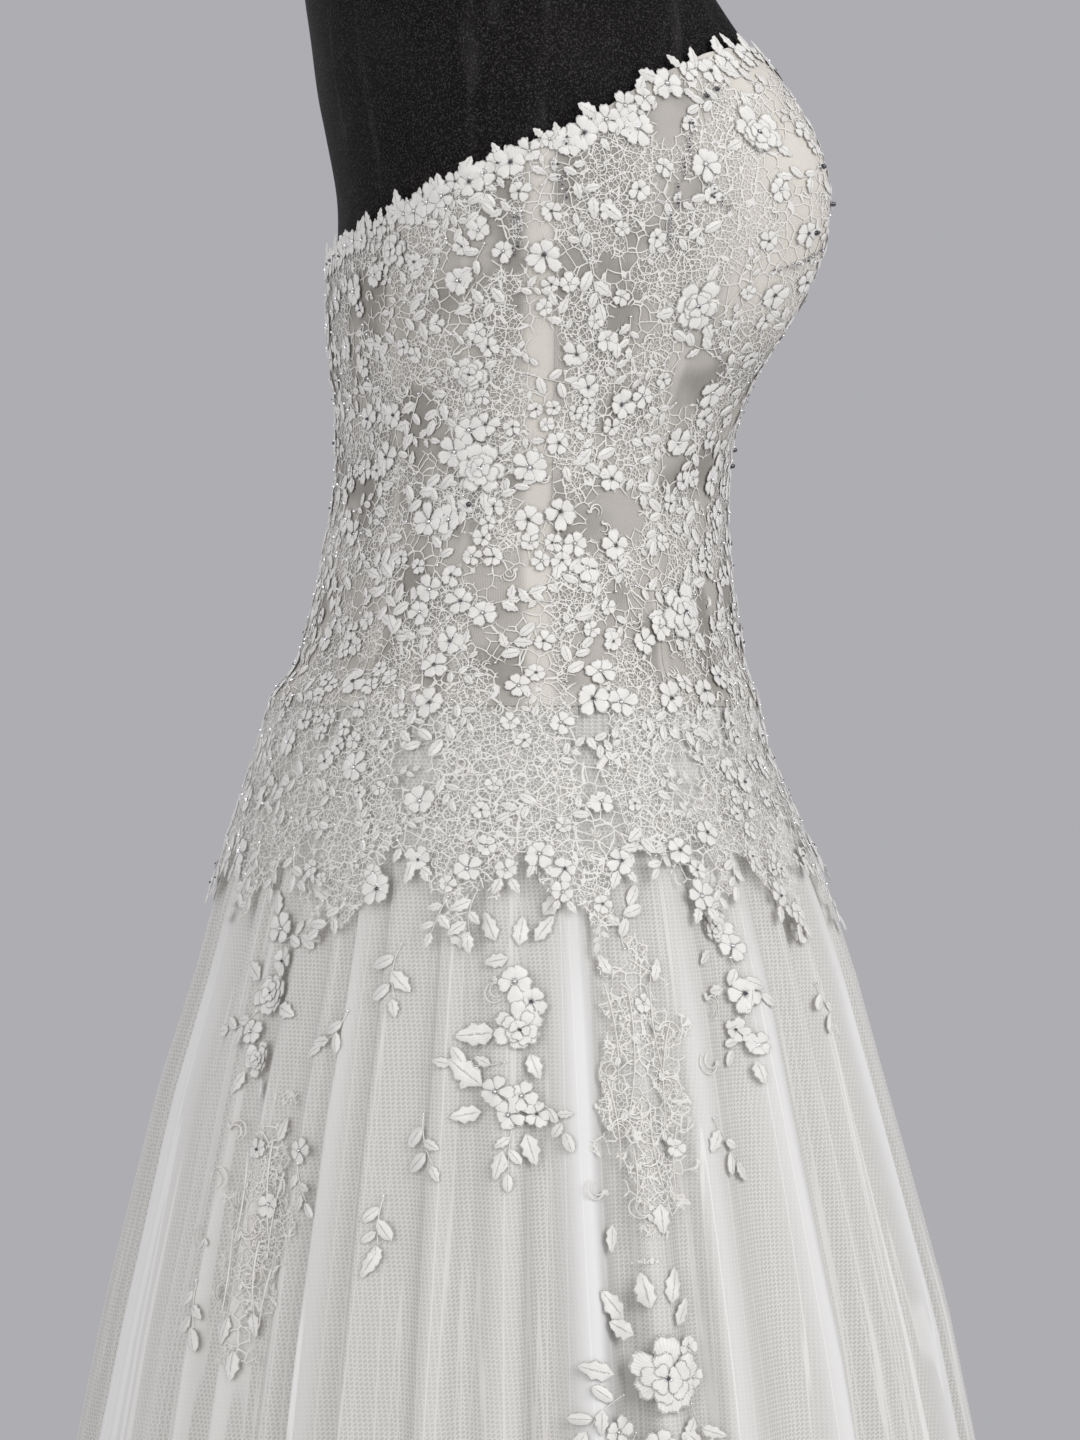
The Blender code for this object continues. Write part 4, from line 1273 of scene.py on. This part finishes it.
for spot in bodice_spots(DARK_STONES):
    lace.crystal(spot, 0, 0, BIG_STONE, 0.8 * MM, DARK)
for stem in BEADED_STEMS:
    corners = np.linspace(0, 1, len(stem[0]))
    beads = np.linspace(0, 1, len(corners) * STEM_BEADS)
    row = np.stack([np.interp(beads, corners, line) for line in stem], -1)
    for number, spot in enumerate(bodice_spots(row)):
        lace.crystal(spot, 0, 0, STEM_BEAD, 0.4 * MM, DARK if number % 2 else CLEAR)

fill_between(lace, taken)
lace.sewn("bodice_embroidery_right", on_bodice, "bodice_lace")
lace.mirrored().sewn("bodice_embroidery_left", on_bodice, "bodice_lace")

# The lace sprays on the skirt: flowers, a rose, and two patches of open web with scrolls, each on the
# crests of the net's folds. Both sides have the same ones.
WEB_ROWS = 110
WEB_COLUMNS = 56
WEB_EDGE = (1.25, 1.15)
WEB_RAGGED_STEP = 22 * MM
WEB_PATCH_STEP = 26 * MM
WEB_SINK = 0.3 * MM
SPRAY_SINK = 0.8 * MM
STEM_BEND = 0.4
SCATTER_REACH = (0.6, 0.92)
SPRAYS = {
    "side_flowers": {"angle": 90, "height": 818, "half_width": 24, "half_height": 62},
    "back_flowers": {"angle": 135, "height": 838, "half_width": 22, "half_height": 49},
    "front_flowers": {"angle": 54, "height": 850, "half_width": 20, "half_height": 50},
    "low_rose": {"angle": 75, "height": 662, "half_width": 32, "half_height": 50},
    "side_lace": {"angle": 71, "height": 800, "half_width": 27, "half_height": 70},
    "back_lace": {"angle": 128, "height": 728, "half_width": 26, "half_height": 58},
}
# What is sewn in each spray, in millimetres right and up of its middle, with its size, and its turn in
# degrees from straight up towards the back.
SPRAY_MOTIFS = {
    "side_flowers": (
        ("leaf", -21, 50, 13, 60), ("leaf", -9, 52, 12, 25), ("leaf", 3, 50, 11, -10),
        ("leaf", 11, 52, 12, -40), ("leaf", -2, 44, 10, 100), ("scroll", -8, 32, 8, 60),
        ("flower", 1, 33, 9, 0), ("flower", 9, 23, 8, 0), ("rose", 3, 10, 12, 0),
        ("leaf", -8, 8, 15, 95), ("leaf", 8, -2, 10, 200), ("sprig", -4, -6, 22, 110),
        ("flower", -8, -20, 7.5, 0), ("flower", 4, -22, 7, 0), ("flower", -2, -31, 6.5, 0),
        ("flower", 11, -31, 6, 0), ("leaf", -14, -18, 16, 50), ("leaf", -14, -30, 11, 100),
        ("sprig", 0, -36, 20, 170), ("leaf", 6, -40, 12, 195), ("leaf", -4, -48, 11, 165),
        ("sprig", 12, -26, 16, 250),
    ),
    "back_flowers": (
        ("leaf", -4, 41, 10, 20), ("flower", 0, 34, 8, 0), ("sprig", 4, 28, 20, 300),
        ("flower", 6, 18, 7, 0), ("rose", 4, 2, 12, 0), ("leaf", -8, 8, 12, 60),
        ("leaf", 13, -4, 10, 250), ("sprig", -4, -8, 22, 140), ("flower", -5, -18, 6.5, 0),
        ("rose", 5, -31, 9, 0), ("leaf", 9, -40, 9, 200), ("leaf", -2, -38, 10, 150),
    ),
    "front_flowers": (
        ("leaf", 2, 42, 10, -20), ("flower", -4, 34, 6, 0), ("rose", 0, 24, 9, 0),
        ("flower", 8, 14, 7, 0), ("leaf", -6, 12, 9, 120), ("sprig", 6, 8, 20, 185),
        ("flower", 9, -10, 8.5, 0), ("leaf", -1, -8, 9, 90), ("sprig", 9, -18, 20, 170),
        ("flower", 2, -28, 6, 0), ("flower", 11, -36, 6.5, 0), ("leaf", 9, -44, 9, 190),
    ),
    "low_rose": (
        ("rose", 13, 7, 18, 0), ("leaf", -5, 34, 14, 40), ("leaf", 0, 26, 12, 60),
        ("leaf", 8, 38, 13, 10), ("leaf", 19, 40, 13, -15), ("leaf", 21, 30, 11, -35),
        ("leaf", -13, 10, 13, 75), ("sprig", -8, 0, 22, 100), ("flower", 27, 20, 6, 0),
        ("flower", 28, 6, 6, 0), ("sprig", 25, -6, 24, 190), ("leaf", 20, -18, 12, 230),
        ("sprig", -2, -18, 26, 160), ("flower", -12, -16, 7, 0), ("flower", 8, -24, 8, 0),
        ("leaf", 4, -34, 12, 180), ("scroll", 18, -20, 9, 250), ("flower", -18, -28, 6, 0),
    ),
    "side_lace": (
        ("scroll", -12, 10, 9, 20), ("scroll", 10, 2, 9, 330), ("scroll", -10, -12, 10, 190),
        ("scroll", 8, -22, 10, 160), ("scroll", -6, -36, 9, 200), ("scroll", 12, 26, 8, 10),
        ("flower", 14, -30, 5, 0), ("flower", 4, 40, 5, 0), ("leaf", -12, 54, 9, 30),
        ("leaf", 12, 50, 9, -20), ("leaf", 2, -56, 11, 180), ("bud", 0, 20, 6, 40),
        ("stem", -16, 50, 46, 198), ("stem", -4, 46, 62, 188), ("stem", 9, 50, 50, 172),
        ("stem", 18, 30, 48, 158), ("stem", -18, 4, 44, 198), ("stem", 2, -8, 46, 172),
        ("stem", 16, -20, 34, 160), ("stem", -8, -30, 28, 190),
    ),
    "back_lace": (
        ("scroll", -10, 20, 9, 20), ("scroll", 8, 26, 8, 330), ("scroll", -8, 0, 10, 190),
        ("scroll", 9, -8, 9, 160), ("scroll", -2, -24, 9, 200), ("flower", 6, 14, 6, 0),
        ("flower", -6, 40, 6, 0), ("leaf", 6, 44, 10, -20), ("leaf", -6, -40, 11, 170),
        ("leaf", 6, -38, 9, 200), ("stem", -14, 38, 44, 196), ("stem", 3, 44, 54, 176),
        ("stem", 14, 30, 42, 162), ("stem", -16, 0, 40, 198), ("stem", 4, -4, 36, 172),
        ("stem", 15, -16, 28, 160),
    ),
}
# What is sewn alone on the net: its kind, the pixels across and down to it in the photograph, its size in
# millimetres and its turn.
SCATTERED = (
    ("leaf", 330, 900, 10, 60), ("sprig", 400, 945, 24, 150), ("leaf", 376, 1250, 12, 150),
    ("flower", 795, 930, 7, 0), ("sprig", 425, 1115, 22, 175), ("sprig", 385, 1195, 20, 165),
    ("leaf", 700, 870, 10, 170), ("flower", 690, 860, 6, 0), ("leaf", 560, 860, 10, 190),
    ("sprig", 815, 985, 20, 190), ("flower", 300, 1150, 6, 0), ("sprig", 296, 1165, 18, 185),
    ("scroll", 708, 1000, 9, 340), ("scroll", 716, 1060, 9, 200), ("scroll", 612, 1130, 8, 20),
    ("scroll", 605, 1190, 8, 190), ("sprig", 622, 950, 20, 20), ("sprig", 712, 1120, 22, 200),
    ("scroll", 650, 1215, 8, 160), ("leaf", 612, 1225, 10, 170), ("scroll", 212, 1180, 9, 20),
    ("scroll", 205, 1240, 9, 190), ("scroll", 222, 1300, 8, 160), ("sprig", 200, 1280, 20, 170),
    ("leaf", 236, 1352, 11, 180), ("scroll", 232, 1130, 8, 10), ("leaf", 545, 917, 11, 320),
    ("sprig", 350, 1010, 20, 170),
)
# How much larger each kind is sewn than the tables say.
MOTIF_SCALE = {"flower": 1.15, "rose": 1.1, "leaf": 1.35, "sprig": 1.15}


def sew_motif(sewing, spot, kind, right, up, size, turn):
    """One motif of a spray, from its row in the tables."""
    turn = np.radians(turn)
    right, up, size = right * MM, up * MM, size * MM * MOTIF_SCALE.get(kind, 1.0)
    if kind == "flower":
        sewing.flower(spot, size, right, up)
    elif kind == "rose":
        sewing.rose(spot, size, right, up)
    elif kind == "leaf":
        sewing.leaf(spot, size, turn, right, up)
    elif kind == "bud":
        sewing.add("bud", spot, right, up, turn, 0.6 * size, size, 0.09 * size, 0.0, LEAF)
    elif kind == "sprig":
        sewing.sprig(spot, size, turn, right, up)
    elif kind == "stem":
        bend = np.sign(right) * STEM_BEND
        sewing.add("cord", spot, right, up, turn, bend, size, SCROLL_CORDS[0], 0.0, CORD)
    else:
        sewing.scroll(spot, size, turn, right, up, hand=1 if right < 0 else -1)


def add_sheet(name, points, flat, material, replaced, marks=None):
    """An open surface: points and flat are both rows by columns."""
    quads = grid_faces(*points.shape[:2])
    places = flat.reshape(-1, 2)[quads.ravel()]
    add_mesh(name, points.reshape(-1, 3), [quads], places, material, replaced, marks)


def on_net(angle, height, lift):
    """A place on the skirt for the sprays, which lie closer to it than the lace lies to the bodice."""
    return on_skirt(angle, height, lift - SPRAY_SINK)


def spray_web(name, spray, side, seed):
    """The open web of one patch: a ragged pointed oval of the lace's ground, laid over the folds."""
    height = spray["height"] * MM
    across = np.linspace(-WEB_EDGE[0], WEB_EDGE[0], WEB_COLUMNS)[None, :].repeat(WEB_ROWS, 0)
    up = np.linspace(WEB_EDGE[1], -WEB_EDGE[1], WEB_ROWS)[:, None].repeat(WEB_COLUMNS, 1)
    flat = np.stack([across * spray["half_width"], up * spray["half_height"]], -1) * MM
    angles = side * spray["angle"] + np.degrees(flat[..., 0] / skirt_value(height, "half_width"))
    heights = height + flat[..., 1]
    ragged = 1 + 0.5 * blotches(angles, heights, seed, WEB_RAGGED_STEP)
    dense = 0.55 + 0.35 * blotches(angles, heights, seed + 1, WEB_PATCH_STEP)
    web = (across**2 + np.abs(up) ** 1.6 < ragged) * dense
    word = "left" if side > 0 else "right"
    points = on_net(angles, heights, WORK_LIFT - WEB_SINK)
    add_sheet(f"lace_{name}_web_{word}", points, flat, ground_finish,
              (f"applique_{name}_{word}",), {"web": np.clip(web, 0, 1)})


for number, (name, spray) in enumerate(SPRAYS.items()):
    sewing = Sewing(40 + number)
    spot = (-spray["angle"], spray["height"] * MM)
    for motif in SPRAY_MOTIFS[name]:
        sew_motif(sewing, spot, *motif)
    for side, word, rows in ((-1, "right", sewing), (1, "left", sewing.mirrored())):
        if name.endswith("lace"):
            spray_web(name, spray, side, 60 + number)
            rows.sewn(f"lace_{name}_{word}", on_net, "applique_lace")
        else:
            rows.sewn(f"lace_{name}_{word}", on_net, "applique_lace", (f"applique_{name}_{word}",))

scattered = Sewing(55)
scattered_spots = seen_spots(on_skirt, [row[1:3] for row in SCATTERED], *SCATTER_REACH)
for (kind, _, _, size, turn), spot in zip(SCATTERED, scattered_spots):
    sew_motif(scattered, spot, kind, 0, 0, size, turn)
scattered.sewn("lace_scattered_right", on_net, "applique_lace")
scattered.mirrored().sewn("lace_scattered_left", on_net, "applique_lace")

# The seams of the bodice, with a fine piped line down each one, and the closed zip at the centre back,
# whose two woven edges meet over its small teeth.
SEAM_ANGLES = (-24, 24, -52, 52, -80, 80, -128, 128)
SEAM_CORD = 0.4 * MM
SEAM_STEPS = 60
SEAM_TOP_GAP = 2 * MM
TAPE_HALF_WIDTH = 4 * MM
TAPE_COLUMNS = 9
TAPE_ROWS = 120
TAPE_COLOUR = (0.62, 0.585, 0.515)
TAPE_LIFT = 0.3 * MM
TAPE_WEAVE = 0.6 * MM
TAPE_RELIEF = 0.35 * MM
TAPE_RIDGE = {"place": 1.4 * MM, "width": 0.7 * MM, "height": 0.9 * MM}
BACK_RADIUS = 103 * MM
ZIP_TOOTH = 1.5 * MM
PIPING_TWIST = 1.1 * MM
# The darker colour is painted shade in the grooves of the twist; the paler one is the cord's own colour.
PIPING_GROOVE_SHADE = (0.42, 0.40, 0.36)
PIPING_PALE = (0.66, 0.64, 0.59)


def piping(place, cloth):
    """Twisted cord, with painted shade in the grooves of its twist."""
    # Painted shade: darker bands where the grooves of the twist would lie in shade.
    twist = place.wave(2, PIPING_TWIST) * 0.5 + 0.5
    return {"Base_Color": twist.mix(PIPING_GROOVE_SHADE, PIPING_PALE)}


def tape(place, cloth):
    """Woven tape, with a ridge down each edge and a row of small teeth in the groove between them, whose
    middle is painted dark as shade.
    """
    across = cloth.across(0).maths("ABSOLUTE")
    teeth = cloth.wave(1, ZIP_TOOTH) * (1 - across.step(0.8 * MM, 1.1 * MM))
    weave = cloth.wave(1, TAPE_WEAVE) * 0.15
    groove = across.step(0.1 * MM, 0.6 * MM)
    # Painted shade: the middle of the groove, where the two edges meet, is painted much darker.
    shade = groove.mix(dimmed(TAPE_COLOUR, 0.45), TAPE_COLOUR)
    return {"Base_Color": shade, "Normal": (teeth * 0.5 + weave + groove).bump(TAPE_RELIEF, 0.8)}


seam_share = np.linspace(0, 1, SEAM_STEPS + 1)[None, :]
seam_angles = np.array(SEAM_ANGLES, float)[:, None] + 0 * seam_share
seam_heights = between(neckline(seam_angles) - SEAM_TOP_GAP, WAIST_SEAM + 1 * MM, seam_share)
seam_lift = np.full(seam_angles.shape, BASE_LIFT)
seam_thick = np.full(seam_angles.shape, SEAM_CORD)
seam_points = cord_rings(on_bodice, seam_angles, seam_heights, seam_lift, seam_thick)
seam_starts = np.arange(len(SEAM_ANGLES))[:, None, None] * seam_points.shape[1]
seam_faces = (seam_starts + cord_faces(SEAM_STEPS)[None]).reshape(-1, 4)
piping_finish = finish("seam_piping", piping, Roughness=0.6)
seam_flat = np.zeros((seam_faces.size, 2))
add_mesh("bodice_seams", seam_points.reshape(-1, 3), [seam_faces], seam_flat, piping_finish)

tape_across = np.linspace(-1, 1, TAPE_COLUMNS)[None, :] * TAPE_HALF_WIDTH + np.zeros((TAPE_ROWS, 1))
tape_share = np.linspace(0, 1, TAPE_ROWS)[:, None]
tape_heights = between(neckline(180.0), WAIST_SEAM - 2 * MM, tape_share) + 0 * tape_across
tape_ridge = bell((np.abs(tape_across) - TAPE_RIDGE["place"]) / TAPE_RIDGE["width"])
tape_lift = BASE_LIFT + TAPE_LIFT + TAPE_RIDGE["height"] * tape_ridge
tape_angles = 180 + np.degrees(tape_across / BACK_RADIUS)
tape_points = on_bodice(tape_angles, tape_heights, tape_lift)
tape_flat = np.stack([tape_across, tape_heights], -1)
add_sheet("back_zip_tape", tape_points, tape_flat, finish("zip_tape", tape, Roughness=0.6),
          ("back_zip",))
